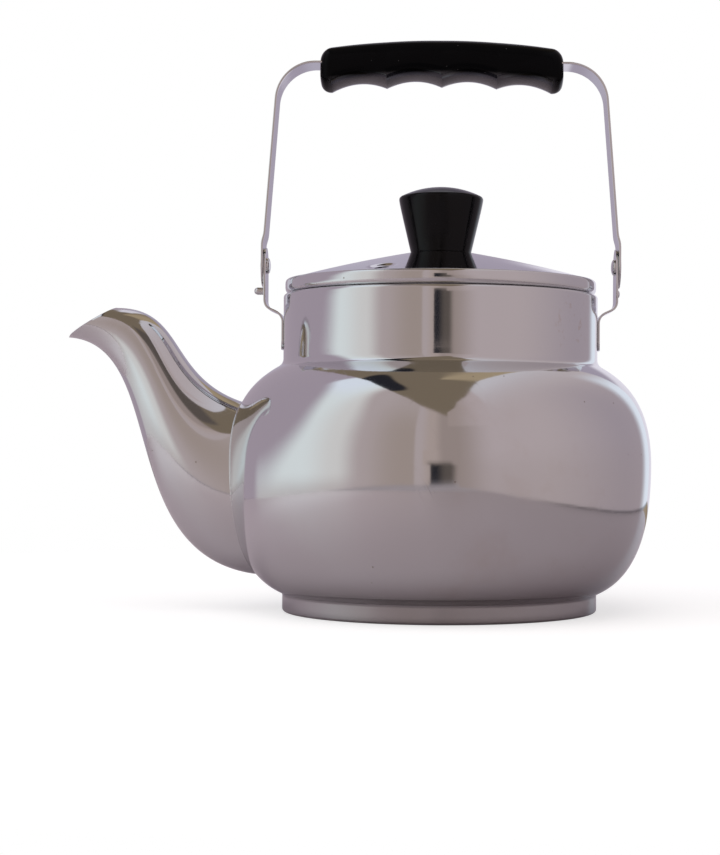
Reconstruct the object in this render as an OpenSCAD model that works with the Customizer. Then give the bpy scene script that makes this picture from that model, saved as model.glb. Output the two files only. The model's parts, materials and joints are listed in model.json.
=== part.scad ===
// Steel teapot with a welded swan-neck spout, a swinging bail handle and a lift-off lid.
// The origin is on the pot's axis in the plane of the table, the spout points to -X and the bail
// swings about X. The body is a bulged tube between a pressed base pan and a pressed neck collar, so
// its foot and its neck share a radius.

/* [Body] */
// Outer radius of the foot and of the neck
neck_r = 70; // [66:0.5:76]
// Outer radius of the belly at its waist
belly_r = 94; // [88:0.5:102]
// Height of the waist
waist_z = 65; // [58:0.5:72]
// Height of the crease between foot and belly
foot_z = 8; // [6:0.5:11]
// Height of the crease between belly and neck
shoulder_z = 109.5; // [104:0.5:113]
// Height of the mouth, on which the lid seats
mouth_z = 140.5; // [137:0.5:150]
// Thickness of the body's sheet
body_wall = 0.8; // [0.6:0.1:1.2]
// Slope at which the belly leaves the foot, in degrees
foot_slope = 24; // [15:1:35]
// Slope at which the shoulder meets the neck, in degrees
shoulder_slope = 30; // [20:1:40]
// Fullness of the belly just above the foot
foot_pull = 18.5; // [10:0.5:24]
// Fullness of the belly just below the waist
low_pull = 30.5; // [20:0.5:38]
// Fullness of the belly just above the waist
high_pull = 27; // [18:0.5:32]
// Fullness of the belly at the shoulder
shoulder_pull = 14.5; // [8:0.5:20]
// Length of each side of the two creases
crease = 2.5; // [1.5:0.25:4]
// Radius under the edge of the foot
foot_round = 2.25; // [1.5:0.25:4]
// Radius at the top of the neck
neck_round = 4; // [3:0.25:5]
// Width of the flat seat round the mouth
seat_w = 1.8; // [1.4:0.1:2.6]
// Radius where the seat turns down into the mouth
lip_round = 1.5; // [1.3:0.1:2]
// Depth of the lip inside the mouth
lip_h = 5; // [3:0.5:8]
// Width of the flat ring that the pot stands on
stand_w = 8; // [5:0.5:14]
// Height of the base panel inside that ring
base_recess = 1.2; // [0.6:0.2:2.4]

/* [Spout] */
// How far the pouring lip stands out from the belly
spout_out = 72; // [60:1:84]
// Height of the pouring lip
spout_z = 121; // [112:1:130]
// Length of the slanted mouth of the spout
pour_len = 25.5; // [20:0.5:32]
// Width of the slanted mouth of the spout
pour_w = 21; // [16:0.5:26]
// Slope of the spout's mouth, in degrees
pour_slope = 31.5; // [20:0.5:40]
// Height of the root's top on the belly
root_top_z = 91.5; // [86:0.5:95]
// Height of the root's bottom on the belly
root_low_z = 15.2; // [14:0.2:22]
// Width of the root
root_w = 46; // [36:0.5:50]
// How far the spout's underside runs out before it climbs
under_pull = 71; // [55:1:80]
// How far the underside bends back below the lip
lip_pull = 46.5; // [34:0.5:54]
// How far the spout's top runs out before it climbs
top_pull = 38; // [28:0.5:44]
// How far the top bends back behind the mouth
crown_pull = 31; // [22:0.5:38]
// Thickness of the spout's sheet
spout_wall = 0.8; // [0.6:0.1:1.2]
// Width of the port in the body behind the spout
port_w = 19; // [14:0.5:21]
// Height of the port
port_h = 52; // [40:1:56]
// Height of the port's centre
port_z = 53; // [50:0.5:57]

/* [Strainer] */
// Thickness of the strainer plate
strainer_t = 0.6; // [0.4:0.1:1]
// How far the plate laps the body round the port
strainer_lap = 4; // [2.5:0.5:6]
// Radius of the strainer's holes
strainer_hole_r = 1.25; // [1:0.05:1.5]
// Spacing of the strainer's holes
strainer_pitch = 4.6; // [4:0.1:6.5]

/* [Lugs] */
// Thickness of a lug's strip
lug_t = 1; // [0.8:0.1:1.5]
// Width of a lug
lug_w = 16; // [13:0.5:18]
// How far a lug's outer face stands off the neck
lug_out = 8.75; // [7.5:0.25:12]
// Depth of a lug's weld plate below the mouth
plate_drop = 9; // [7:0.5:10]
// Height of a lug's weld plate
plate_h = 15.5; // [10:0.5:17]
// Rise of a lug's arm from the plate to the upright
arm_rise = 3.5; // [2:0.25:5]
// Length of each side of a lug's bends
lug_bend = 3; // [2:0.25:3.5]
// Height of the bail's pivots above the mouth
pivot_rise = 13; // [11:0.5:18]
// Radius of a stop peg
peg_r = 1.65; // [1.2:0.05:2]
// How far the spout-side stop peg stands out
spout_peg_len = 4.25; // [2.5:0.25:6]
// How far the rear stop peg stands out
rear_peg_len = 1.75; // [1.5:0.25:6]
// Distance of a stop peg below the pivot
peg_drop = 11.6; // [11.6:0.1:13]
// Distance of a stop peg to one side of the pivot
peg_side = 4; // [3:0.1:5]
// Radius of a rivet's shank
rivet_r = 2.5; // [2:0.1:3]
// Radius of a rivet's heads
rivet_head_r = 3.7; // [3.4:0.1:5]
// Height of a rivet's inner head
rivet_head_h = 1.6; // [1:0.1:2.2]
// Height of a rivet's peened outer end
rivet_peen_h = 0.7; // [0.5:0.1:1.2]

/* [Bail] */
// Width of the bail's strap
strap_w = 18; // [14:0.5:18]
// Thickness of the strap
strap_t = 1; // [0.8:0.1:1.5]
// Height of the strap's top run above the pivots
bail_h = 89.8; // [82:0.2:105]
// Lean of the legs, in degrees
leg_lean = 4.5; // [2:0.1:6]
// Radius of the strap's upper bends, at mid thickness
bow_r = 17.5; // [10:0.5:18]
// Radius of the round ends of the legs
leg_end_r = 9.4; // [7.5:0.1:9.4]
// How far the legs step in above the lugs
joggle = 1.2; // [0.8:0.1:2]
// Height over which the legs step in
joggle_h = 7; // [5:0.5:10]

/* [Grip] */
// Length of the grip
grip_len = 108; // [98:1:112]
// Depth of the grip from front to back
grip_d = 24; // [21:0.5:30]
// Height of the grip's top above the strap's mid plane
grip_above = 10.6; // [7:0.2:14]
// Depth of the grip's underside below the strap's mid plane
grip_below = 9.6; // [7:0.2:10]
// Width of one finger groove
groove_w = 24.5; // [20:0.25:24.5]
// Depth of a finger groove
groove_h = 2.8; // [0.5:0.1:3.2]
// Drop of the top of the grip's ends below its middle
grip_arch = 4; // [1:0.25:4.5]
// Drop of the underside of the grip's ends below its middle
grip_hollow = 3; // [1:0.25:3.5]
// Radius round the grip's ends
grip_round = 5; // [2:0.25:5]
// Share of the grip's height that its slanted lower edges take
grip_edge = 0.24; // [0.15:0.01:0.4]

/* [Lid] */
// Thickness of the lid's sheet
lid_sheet = 0.7; // [0.5:0.1:1]
// How far the lid's rim stays inside the neck's outer radius
rim_inset = 0.7; // [0.2:0.1:1.2]
// Radius of the lid's rolled rim
rim_round = 3.3; // [2.8:0.1:3.6]
// Height of the knob's seat above the mouth
lid_rise = 18.8; // [14:0.2:24]
// Radius of the flat knob seat
knob_seat_r = 14.4; // [14.2:0.2:18]
// Slope of the lid beside the knob seat, in degrees
crown_slope = 11; // [8:0.5:14]
// Slope of the lid beside its rim, in degrees
rim_slope = 16; // [14:0.5:20]
// Radius of the steam vent
vent_r = 3.2; // [2:0.2:3.6]
// Width of the pressed ring round the vent
vent_ring = 3.25; // [2:0.25:3.5]
// Depth of the pressed ring
vent_sink = 1; // [0.8:0.1:1.4]
// Distance of the vent from the axis
vent_out = 59; // [46:0.5:59]
// Bearing of the vent, anticlockwise from +X, in degrees
vent_bearing = 245; // [0:1:359]
// Thickness of the lid's skirt
skirt_t = 0.6; // [0.5:0.1:0.8]
// Depth of the skirt below the seat
skirt_h = 9; // [6:0.5:14]

/* [Knob] */
// Radius of the knob's foot
knob_low_r = 13.6; // [12:0.1:14]
// Radius of the knob's widest edge
knob_top_r = 18.8; // [16:0.2:22]
// Height of the knob's widest edge
knob_edge_h = 24; // [18:0.5:28]
// Height of the whole knob
knob_h = 29.6; // [28:0.2:34]
// Radius round the knob's widest edge
knob_round = 1.6; // [0.8:0.2:2.4]
// Outer radius of the threaded insert
insert_r = 4.2; // [3.6:0.1:5]
// Length of the insert
insert_h = 12; // [9:0.5:14]
// Radius of the screw's shank
screw_r = 2; // [1.5:0.1:2.3]
// Radius of the screw's head
screw_head_r = 3.8; // [3.2:0.1:4.5]
// Height of the screw's head
screw_head_h = 2.4; // [2:0.1:3]
// Length of the screw's shank that enters the insert
screw_grip = 9; // [6:0.5:9]
// Radius of the washer under the lid
washer_r = 7; // [5:0.25:9]
// Thickness of the washer
washer_t = 0.8; // [0.6:0.1:1.2]

/* [Fits] */
// Gap between welded or clamped sheets
sheet_gap = 0.05; // [0.03:0.01:0.08]
// Radial clearance of the bail on its rivets
pivot_gap = 0.06; // [0.03:0.01:0.1]
// Gap between each lug and the leg beside it, and under the rivet's outer end
lap_gap = 0.12; // [0.08:0.02:0.2]
// Clearance of the strap in the grip's slot
slot_gap = 0.15; // [0.1:0.05:0.3]
// Clearance of the lid's skirt in the mouth
skirt_gap = 0.5; // [0.4:0.1:0.8]
// Clearance of the screw in the sheets that it passes through
screw_gap = 0.2; // [0.1:0.05:0.3]
// Clearance between threads, and round the insert
thread_gap = 0.03; // [0.02:0.01:0.05]

/* [Hidden] */
$fn = 96;
steel = [0.77, 0.75, 0.78];
plain_steel = [0.62, 0.62, 0.65];
black = [0.05, 0.05, 0.055];
brass = [0.72, 0.58, 0.3];
curve_steps = 12;
round_steps = 5;
past = 5;

pivot_z = mouth_z + pivot_rise;
strap_z = pivot_z + bail_h;
lid_top_z = mouth_z + lid_rise;
lug_face = neck_r + lug_out;
leg_x = lug_face + lap_gap + strap_t / 2;
seat_out_r = neck_r - neck_round;
seat_in_r = seat_out_r - seat_w;
mouth_r = seat_in_r - lip_round;
skirt_r = mouth_r - skirt_gap;
rim_c = [neck_r - rim_inset - rim_round, mouth_z + rim_round];

// Point on a curve that is pulled towards its inner points
function bezier(p, t) =
    len(p) == 1 ? p[0] : bezier([for (i = [0 : len(p) - 2]) p[i] * (1 - t) + p[i + 1] * t], t);
// Curve and arc as points, each without its first one
function curve(p, steps) = [for (i = [1 : steps]) bezier(p, i / steps)];
function arc(c, r, from, to, steps) =
    [for (i = [1 : steps]) let (a = from + (to - from) * i / steps) c + r * [cos(a), sin(a)]];
function reversed(p) = [for (i = [len(p) - 1 : -1 : 0]) p[i]];
function mirrored(p) = [for (q = p) [-q[0], q[1]]];
function heading(a) = [cos(a), sin(a)];
// Path moved to its left by d
function left_of(a, b) = [a[1] - b[1], b[0] - a[0]] / norm(b - a);
function moved(p, d) = [
    for (i = [0 : len(p) - 1])
    let (
        n = left_of(p[max(i - 1, 0)], p[max(i, 1)])
            + left_of(p[min(i, len(p) - 2)], p[min(i + 1, len(p) - 1)])
    )
    p[i] + 2 * d * n / (n * n)
];
// Sheet between two paths that lie beside the given one
function sheet(p, near, far) = concat(moved(p, near), reversed(moved(p, far)));

// Outside of the base pan from its middle, of the body from there, and of the collar to its lip
foot_corner = [neck_r, foot_z];
neck_corner = [neck_r, shoulder_z];
foot_line = heading(foot_slope);
shoulder_line = heading(-shoulder_slope);
stand_out_r = neck_r - foot_round;
base_seam_z = (foot_round + foot_z - crease) / 2;
neck_seam_z = shoulder_z + 2 * crease;
base_path = concat(
    [
        [0, base_recess],
        [stand_out_r - stand_w - 2 * base_recess, base_recess],
        [stand_out_r - stand_w, 0],
        [stand_out_r, 0]
    ],
    arc([stand_out_r, foot_round], foot_round, 270, 360, round_steps),
    [[neck_r, base_seam_z]]
);
foot_path = concat(
    [[neck_r, base_seam_z], foot_corner - [0, crease]],
    curve([foot_corner - [0, crease], foot_corner, foot_corner + crease * foot_line], round_steps)
);
belly_path = concat(
    curve([
        foot_corner + crease * foot_line, foot_corner + foot_pull * foot_line,
        [belly_r, waist_z - low_pull], [belly_r, waist_z]
    ], curve_steps),
    curve([
        [belly_r, waist_z], [belly_r, waist_z + high_pull],
        neck_corner + shoulder_pull * shoulder_line, neck_corner + crease * shoulder_line
    ], curve_steps)
);
shoulder_path = concat(
    curve([
        neck_corner + crease * shoulder_line, neck_corner, neck_corner + [0, crease]
    ], round_steps),
    [[neck_r, neck_seam_z]]
);
neck_path = concat(
    [[neck_r, neck_seam_z], [neck_r, mouth_z - neck_round]],
    arc([seat_out_r, mouth_z - neck_round], neck_round, 0, 90, round_steps),
    [[seat_in_r, mouth_z]],
    arc([seat_in_r, mouth_z - lip_round], lip_round, 90, 180, round_steps),
    [[mouth_r, mouth_z - lip_h]]
);
body_path = concat(foot_path, belly_path, shoulder_path);
belly_radii = [for (p = belly_path) [p[1], p[0]]];
function belly_at(z) = lookup(z, belly_radii);

// Side outlines of the spout, from inside the belly to the mouth
root_sink = 4;
under_rise = 3.2;
under_lift = 3.4;
top_rise = 10;
spout_tip = [-belly_r - spout_out, spout_z];
spout_crown = spout_tip + pour_len * heading(pour_slope);
root_top = [root_sink - belly_at(root_top_z), root_top_z];
root_low = [root_sink - belly_at(root_low_z), root_low_z];
under_line = [
    root_low, root_low + [-under_pull, under_rise], spout_tip + [lip_pull, -under_lift], spout_tip
];
top_line = [
    root_top, root_top + [-top_pull, top_rise], spout_crown + [crown_pull, 0], spout_crown
];
spout_rings = 26;
spout_sides = 36;
// Ring of the spout at a share t of its length, drawn in by the given amount.
// The top runs late, so that the rings stay about square to the spout.
function spout_ring(t, inset) =
    let (
        low = bezier(under_line, t),
        high = bezier(top_line, t * t),
        mid = (low + high) / 2,
        half = (high - low) / 2,
        reach = half * (1 - inset / norm(half)),
        wide = root_w / 2 + (pour_w - root_w) / 2 * t - inset
    )
    [
        for (i = [0 : spout_sides - 1])
        let (a = 360 * i / spout_sides, p = mid + reach * cos(a))
        [p[0], wide * sin(a), p[1]]
    ];

// Outline of the lid's top, from the screw hole to the turned-in edge
lid_hole_r = screw_r + screw_gap;
lid_start = [knob_seat_r, lid_top_z];
lid_end = rim_c + rim_round * heading(90 - rim_slope);
lid_third = (lid_end[0] - lid_start[0]) / 3;
dome_path = curve([
    lid_start, lid_start + lid_third * [1, -tan(crown_slope)],
    lid_end + lid_third * [-1, tan(rim_slope)], lid_end
], curve_steps);
lid_path = concat(
    [[lid_hole_r, lid_top_z], lid_start], dome_path,
    arc(rim_c, rim_round, 90 - rim_slope, -90, 2 * round_steps),
    [[seat_in_r + sheet_gap, mouth_z]]
);
dome_heights = concat([lid_start], dome_path);
function dome_at(r) = lookup(r, dome_heights);

// Middle line of the strap, from the end of one leg to the end of the other
joggle_low = [leg_x, pivot_z + lug_w / 2 + lap_gap];
joggle_top = joggle_low + [-joggle, joggle_h];
bow_corner = [joggle_top[0] - tan(leg_lean) * (strap_z - joggle_top[1]), strap_z];
bow_c = [bow_corner[0] - bow_r * tan(45 - leg_lean / 2), strap_z - bow_r];
half_strap = concat(
    [[leg_x, pivot_z - leg_end_r - past], joggle_low],
    curve([
        joggle_low, joggle_low + [0, joggle_h / 2],
        joggle_top - joggle_h / 2 * heading(90 + leg_lean), joggle_top
    ], round_steps),
    [bow_c + bow_r * heading(leg_lean)],
    arc(bow_c, bow_r, leg_lean, 90, 2 * round_steps)
);
strap_path = concat(half_strap, reversed(mirrored(half_strap)));

// Middle line of a lug in its side view
plate_x = neck_r + sheet_gap + lug_t / 2;
plate_top_z = mouth_z - plate_drop;
arm_foot = [plate_x, plate_top_z];
arm_head = [lug_face - lug_t / 2, plate_top_z + arm_rise];
arm_line = (arm_head - arm_foot) / norm(arm_head - arm_foot);
lug_path = concat(
    [arm_foot - [0, lug_bend + lug_t]],
    curve([arm_foot - [0, lug_bend], arm_foot, arm_foot + lug_bend * arm_line], round_steps),
    curve([arm_head - lug_bend * arm_line, arm_head, arm_head + [0, lug_bend]], round_steps),
    [[arm_head[0], pivot_z + lug_w]]
);

// Grip's height at a distance x from its middle, and its finger grooves
grip_half = grip_len / 2;
grooves = 4;
grip_sections = 64;
grip_sides = 32;
grip_square = 3.4;
grip_slant = 1.5;
function arch(x, drop) = -drop * pow(x / grip_half, 2);
function groove(x) =
    abs(x) >= grooves / 2 * groove_w ? 0
    : let (u = x / groove_w - floor(x / groove_w) - 0.5) groove_h * (1 - 4 * u * u);
function squared(v, power) = sign(v) * pow(abs(v), 2 / power);
// Section of the grip at x, drawn in by the given amount: full above its edge line, slanted below
function grip_section(x, inset) =
    let (
        top = strap_z + grip_above + arch(x, grip_arch) - inset,
        low = strap_z - grip_below + arch(x, grip_hollow) + groove(x) + inset,
        edge_z = low + grip_edge * (top - low)
    )
    [
        for (i = [0 : grip_sides - 1])
        let (
            a = 360 * i / grip_sides,
            reach = sin(a) > 0 ? top - edge_z : edge_z - low,
            power = sin(a) > 0 ? grip_square : grip_slant
        )
        [x, (grip_d / 2 - inset) * squared(cos(a), power), edge_z + reach * squared(sin(a), power)]
    ];

// Faces between rings of equal count, and the caps at both ends
function side_faces(rings, sides, first) = [
    for (i = [0 : rings - 2], j = [0 : sides - 1])
    let (a = first + i * sides, b = a + sides, k = (j + 1) % sides)
    each [[a + j, b + j, b + k], [a + j, b + k, a + k]]
];
function turned(faces) = [for (f = faces) reversed(f)];
function band_faces(outer, inner, sides) = [
    for (j = [0 : sides - 1])
    let (k = (j + 1) % sides)
    each [[outer + j, outer + k, inner + k], [outer + j, inner + k, inner + j]]
];

// Flat shape with half-round ends, standing upright
module upright_slot(w, h) {
    square([w, h - w], center = true);
    for (s = [-1, 1])
        translate([0, s * (h - w) / 2])
            circle(d = w);
}

// Turns a flat shape in Y and Z into a bar along X
module along_x(from, to) {
    translate([from, 0, 0])
        rotate([90, 0, 90])
            linear_extrude(to - from)
                children();
}

// Round bar along X at a height and a distance to the side
module pin_x(r, from, to, y, z) {
    translate([from, y, z])
        rotate([0, 90, 0])
            cylinder(r = r, h = to - from);
}

module port_bar(margin) {
    along_x(-belly_r - past, -neck_r / 2)
        translate([0, port_z])
            upright_slot(port_w + 2 * margin, port_h + 2 * margin);
}

module body_shell() {
    color(steel)
        difference() {
            rotate_extrude($fn = 180)
                polygon(sheet(body_path, 0, body_wall));
            port_bar(0);
        }
}

// Pressed pan that closes the foot, with the flat ring that the pot stands on
module base_pan() {
    color(steel)
        rotate_extrude($fn = 180)
            polygon(sheet(base_path, 0, body_wall));
}

// Pressed collar above the shoulder, with the seat and the lip of the mouth
module neck_collar() {
    color(steel)
        rotate_extrude($fn = 180)
            polygon(sheet(neck_path, 0, body_wall));
}

// Hollow swan-neck spout, cut to the belly that it is welded to
module spout() {
    outer = [for (i = [0 : spout_rings]) each spout_ring(i / spout_rings, 0)];
    inner = [for (i = [0 : spout_rings]) each spout_ring(i / spout_rings, spout_wall)];
    rings = spout_rings + 1;
    count = len(outer);
    last = count - spout_sides;
    color(steel)
        difference() {
            polyhedron(concat(outer, inner), concat(
                side_faces(rings, spout_sides, 0),
                turned(side_faces(rings, spout_sides, count)),
                band_faces(0, count, spout_sides),
                turned(band_faces(last, count + last, spout_sides))
            ));
            rotate_extrude($fn = 180)
                polygon(concat(
                    [[0, base_seam_z]], moved(body_path, -sheet_gap), [[0, neck_seam_z]]
                ));
        }
}

// Perforated plate inside the belly, over the port
module strainer() {
    near = body_wall + sheet_gap;
    straight = (port_h - port_w) / 2;
    room = port_w / 2 - strainer_hole_r;
    row_h = strainer_pitch * sin(60);
    rows = floor((straight + room) / row_h);
    across = floor(room / strainer_pitch) + 1;
    color(plain_steel)
        difference() {
            intersection() {
                rotate_extrude($fn = 180)
                    polygon(sheet(belly_path, near, near + strainer_t));
                port_bar(strainer_lap);
            }
            for (row = [-rows : rows], col = [-across : across]) {
                y = (col + (row % 2 == 0 ? 0 : 0.5)) * strainer_pitch;
                z = row * row_h;
                if (norm([y, max(abs(z) - straight, 0)]) < room)
                    pin_x(strainer_hole_r, -belly_r, -neck_r / 2, y, port_z + z, $fn = 24);
            }
        }
}

// Front view of a lug: a strip with a round head and rounded foot corners
module lug_front() {
    foot_z0 = plate_top_z - plate_h;
    corner = lug_w / 4;
    translate([-lug_w / 2, foot_z0 + corner])
        square([lug_w, pivot_z - foot_z0 - corner]);
    translate([corner - lug_w / 2, foot_z0])
        square([lug_w - 2 * corner, lug_w]);
    for (s = [-1, 1])
        translate([s * (lug_w / 2 - corner), foot_z0 + corner])
            circle(r = corner);
    translate([0, pivot_z])
        circle(d = lug_w);
}

// Lug for the rear of the pot: a weld plate on the neck, an arm and an upright
module lug() {
    color(steel)
        difference() {
            intersection() {
                union() {
                    rotate_extrude($fn = 180)
                        translate([neck_r + sheet_gap, plate_top_z - plate_h])
                            square([lug_t, plate_h - lug_bend]);
                    translate([0, lug_w, 0])
                        rotate([90, 0, 0])
                            linear_extrude(2 * lug_w)
                                polygon(sheet(lug_path, -lug_t / 2, lug_t / 2));
                }
                along_x(neck_r / 2, lug_face + past)
                    lug_front();
            }
            pin_x(rivet_r, neck_r, lug_face + past, 0, pivot_z);
        }
}

// Round peg with a domed end on the lug's outer face, on which the swung bail rests
module stop_peg(peg_len) {
    color(steel)
        translate([lug_face, peg_side, pivot_z - peg_drop])
            rotate([0, 90, 0])
                rotate_extrude()
                    polygon(concat(
                        [[0, 0], [peg_r, 0], [peg_r, peg_len / 2]],
                        curve([[peg_r, peg_len / 2], [peg_r, peg_len], [0, peg_len]], round_steps)
                    ));
}

// Rivet through lug and leg, with a domed head inside and a low peened end outside
module rivet() {
    lug_inner = lug_face - lug_t;
    leg_outer = leg_x + strap_t / 2 + lap_gap;
    color(steel)
        translate([lug_inner, 0, pivot_z])
            rotate([0, 90, 0])
                rotate_extrude()
                    polygon(concat(
                        [[0, -rivet_head_h]],
                        curve([
                            [0, -rivet_head_h], [rivet_head_r, -rivet_head_h], [rivet_head_r, 0]
                        ], round_steps),
                        [
                            [rivet_r, 0], [rivet_r, leg_outer - lug_inner],
                            [rivet_head_r, leg_outer - lug_inner]
                        ],
                        curve([
                            [rivet_head_r, leg_outer - lug_inner],
                            [rivet_head_r, leg_outer - lug_inner + rivet_peen_h],
                            [0, leg_outer - lug_inner + rivet_peen_h]
                        ], round_steps)
                    ));
}

module at_spout_side() {
    rotate([0, 0, 180])
        children();
}

module spout_side_lug() { at_spout_side() lug(); }
module rear_lug() { lug(); }
module spout_side_stop_peg() { at_spout_side() stop_peg(spout_peg_len); }
module rear_stop_peg() { stop_peg(rear_peg_len); }
module spout_side_rivet() { at_spout_side() rivet(); }
module rear_rivet() { rivet(); }

// One bent strap: round leg ends, a step past each lug, two bends and the run inside the grip
module bail_strap() {
    reach = leg_x + past;
    color(steel)
        difference() {
            intersection() {
                translate([0, leg_end_r + past, 0])
                    rotate([90, 0, 0])
                        linear_extrude(2 * (leg_end_r + past))
                            polygon(sheet(strap_path, -strap_t / 2, strap_t / 2));
                along_x(-reach, reach) {
                    translate([0, pivot_z])
                        circle(r = leg_end_r);
                    translate([-strap_w / 2, pivot_z])
                        square([strap_w, bail_h + past]);
                }
            }
            pin_x(rivet_r + pivot_gap, -reach, reach, 0, pivot_z);
        }
}

// Moulded grip with finger grooves and a slot for the strap
module grip() {
    ends = [for (i = [0 : round_steps]) 90 * i / round_steps];
    flat_half = grip_half - grip_round;
    stations = concat(
        [for (a = ends) [-flat_half - grip_round * cos(a), grip_round * (1 - sin(a))]],
        [for (i = [1 : grip_sections - 1]) [flat_half * (2 * i / grip_sections - 1), 0]],
        [for (a = reversed(ends)) [flat_half + grip_round * cos(a), grip_round * (1 - sin(a))]]
    );
    rings = len(stations);
    first_cap = [for (j = [0 : grip_sides - 1]) j];
    last_cap = [for (j = [grip_sides - 1 : -1 : 0]) (rings - 1) * grip_sides + j];
    slot_w = strap_w + 2 * slot_gap;
    slot_h = strap_t + 2 * slot_gap;
    color(black)
        difference() {
            polyhedron(
                [for (s = stations) each grip_section(s[0], s[1])],
                concat(turned(side_faces(rings, grip_sides, 0)), turned([first_cap, last_cap]))
            );
            translate([-grip_len, -slot_w / 2, strap_z - slot_h / 2])
                cube([2 * grip_len, slot_w, slot_h]);
        }
}

// Place of the vent's pressed ring, square to the lid
module at_vent() {
    step = 1;
    tilt = atan2(dome_at(vent_out - step) - dome_at(vent_out + step), 2 * step);
    rotate([0, 0, vent_bearing])
        translate([vent_out, 0, dome_at(vent_out)])
            rotate([0, tilt, 0])
                children();
}

// Domed lid with a rolled rim and a pressed steam vent
module lid_shell() {
    ring_r = vent_r + vent_ring;
    vent_path = concat(
        [[ring_r + lid_sheet, 0], [ring_r, 0]],
        curve([
            [ring_r, 0], [ring_r - vent_ring / 2, 0],
            [ring_r - vent_ring / 2, -vent_sink], [vent_r, -vent_sink]
        ], round_steps)
    );
    color(steel) {
        difference() {
            rotate_extrude($fn = 180)
                polygon(sheet(lid_path, 0, -lid_sheet));
            at_vent()
                cylinder(r = ring_r, h = 4 * lid_sheet, center = true);
        }
        at_vent()
            rotate_extrude()
                polygon(sheet(vent_path, 0, lid_sheet));
    }
}

// Ring that centres the lid in the mouth, with a flange on the turned-in edge of the lid's rim
module lid_skirt() {
    flange_z = mouth_z + lid_sheet + sheet_gap;
    flange_r = rim_c[0] - lid_sheet;
    color(plain_steel)
        rotate_extrude($fn = 180)
            polygon(sheet([
                [skirt_r, mouth_z - skirt_h], [skirt_r, flange_z - skirt_t],
                [skirt_r + skirt_t, flange_z], [flange_r, flange_z]
            ], 0, skirt_t));
}

// Black knob: a cone that widens to a rounded edge under a domed top
module knob() {
    edge_c = [knob_top_r - knob_round, knob_edge_h];
    color(black)
        translate([0, 0, lid_top_z])
            difference() {
                rotate_extrude()
                    polygon(concat(
                        [[0, 0], [knob_low_r - knob_round / 2, 0], [knob_low_r, knob_round / 2]],
                        curve([
                            [knob_low_r, knob_round / 2],
                            [knob_low_r + (knob_top_r - knob_low_r) / 2, knob_edge_h / 2],
                            [knob_top_r, knob_edge_h - knob_round],
                            [knob_top_r, knob_edge_h]
                        ], curve_steps),
                        arc(edge_c, knob_round, 0, 70, round_steps),
                        curve([
                            edge_c + knob_round * heading(70),
                            [knob_top_r / 2, knob_h],
                            [0, knob_h]
                        ], curve_steps)
                    ));
                translate([0, 0, -past])
                    cylinder(r = insert_r + thread_gap, h = insert_h + past + thread_gap);
            }
}

// Brass insert moulded into the knob, with its threaded hole
module knob_insert() {
    color(brass)
        translate([0, 0, lid_top_z])
            difference() {
                cylinder(r = insert_r, h = insert_h);
                translate([0, 0, -past])
                    cylinder(r = screw_r + thread_gap, h = screw_grip + 1 + past);
            }
}

module knob_washer() {
    color(plain_steel)
        translate([0, 0, lid_top_z - lid_sheet - washer_t])
            difference() {
                cylinder(r = washer_r, h = washer_t);
                translate([0, 0, -past])
                    cylinder(r = screw_r + screw_gap, h = washer_t + 2 * past);
            }
}

// Screw that clamps lid and washer to the knob, with a driver slot
module knob_screw() {
    head_z = lid_top_z - lid_sheet - washer_t;
    slot = screw_head_h / 2;
    color(plain_steel)
        difference() {
            translate([0, 0, head_z - screw_head_h]) {
                cylinder(r = screw_head_r, h = screw_head_h);
                cylinder(r = screw_r, h = screw_head_h + washer_t + lid_sheet + screw_grip);
            }
            translate([-screw_head_r, -slot / 2, head_z - screw_head_h - slot])
                cube([2 * screw_head_r, slot, 2 * slot]);
        }
}

body_shell();
base_pan();
neck_collar();
spout();
strainer();
spout_side_lug();
rear_lug();
spout_side_stop_peg();
rear_stop_peg();
spout_side_rivet();
rear_rivet();
bail_strap();
grip();
lid_shell();
lid_skirt();
knob();
knob_insert();
knob_washer();
knob_screw();
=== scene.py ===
"""Looks of a polished steel teapot with a swan-neck spout, a lid and a swinging bail handle.

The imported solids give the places. Each visible piece is made again here from the same few sizes,
as a smooth mesh with rounded edges, and rides on the body that carries it. The origin is on the
pot's axis in the plane of the table, the spout points to -X and the camera looks along +Y.
Lengths are in metres where nothing else is said.
"""

import json
import math

import bmesh
import bpy
import numpy as np
from bpy.props import FloatProperty, FloatVectorProperty, PointerProperty
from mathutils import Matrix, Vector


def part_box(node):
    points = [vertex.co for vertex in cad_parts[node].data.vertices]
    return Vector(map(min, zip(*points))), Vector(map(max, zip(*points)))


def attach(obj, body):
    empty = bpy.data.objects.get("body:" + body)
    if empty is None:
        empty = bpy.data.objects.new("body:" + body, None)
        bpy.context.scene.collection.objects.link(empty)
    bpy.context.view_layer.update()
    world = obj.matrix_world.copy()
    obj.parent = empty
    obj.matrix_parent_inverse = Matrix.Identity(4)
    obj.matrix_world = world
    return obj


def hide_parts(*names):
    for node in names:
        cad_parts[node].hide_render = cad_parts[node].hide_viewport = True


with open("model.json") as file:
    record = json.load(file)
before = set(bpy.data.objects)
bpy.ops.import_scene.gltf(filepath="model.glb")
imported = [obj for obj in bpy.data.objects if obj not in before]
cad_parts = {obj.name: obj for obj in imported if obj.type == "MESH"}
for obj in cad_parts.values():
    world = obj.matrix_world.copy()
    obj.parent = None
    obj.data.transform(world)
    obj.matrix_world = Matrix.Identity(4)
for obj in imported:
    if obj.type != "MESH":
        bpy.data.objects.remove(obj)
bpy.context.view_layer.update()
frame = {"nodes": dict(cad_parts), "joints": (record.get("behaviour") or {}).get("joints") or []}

bl_info = {
    "name": "Steel Teapot",
    "version": (1, 0, 0),
    "blender": (4, 5, 0),
    "location": "View3D > Sidebar > Teapot",
    "description": "Builds the visible pieces of a steel teapot and the table that it stands on",
    "category": "Add Mesh",
}

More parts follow.
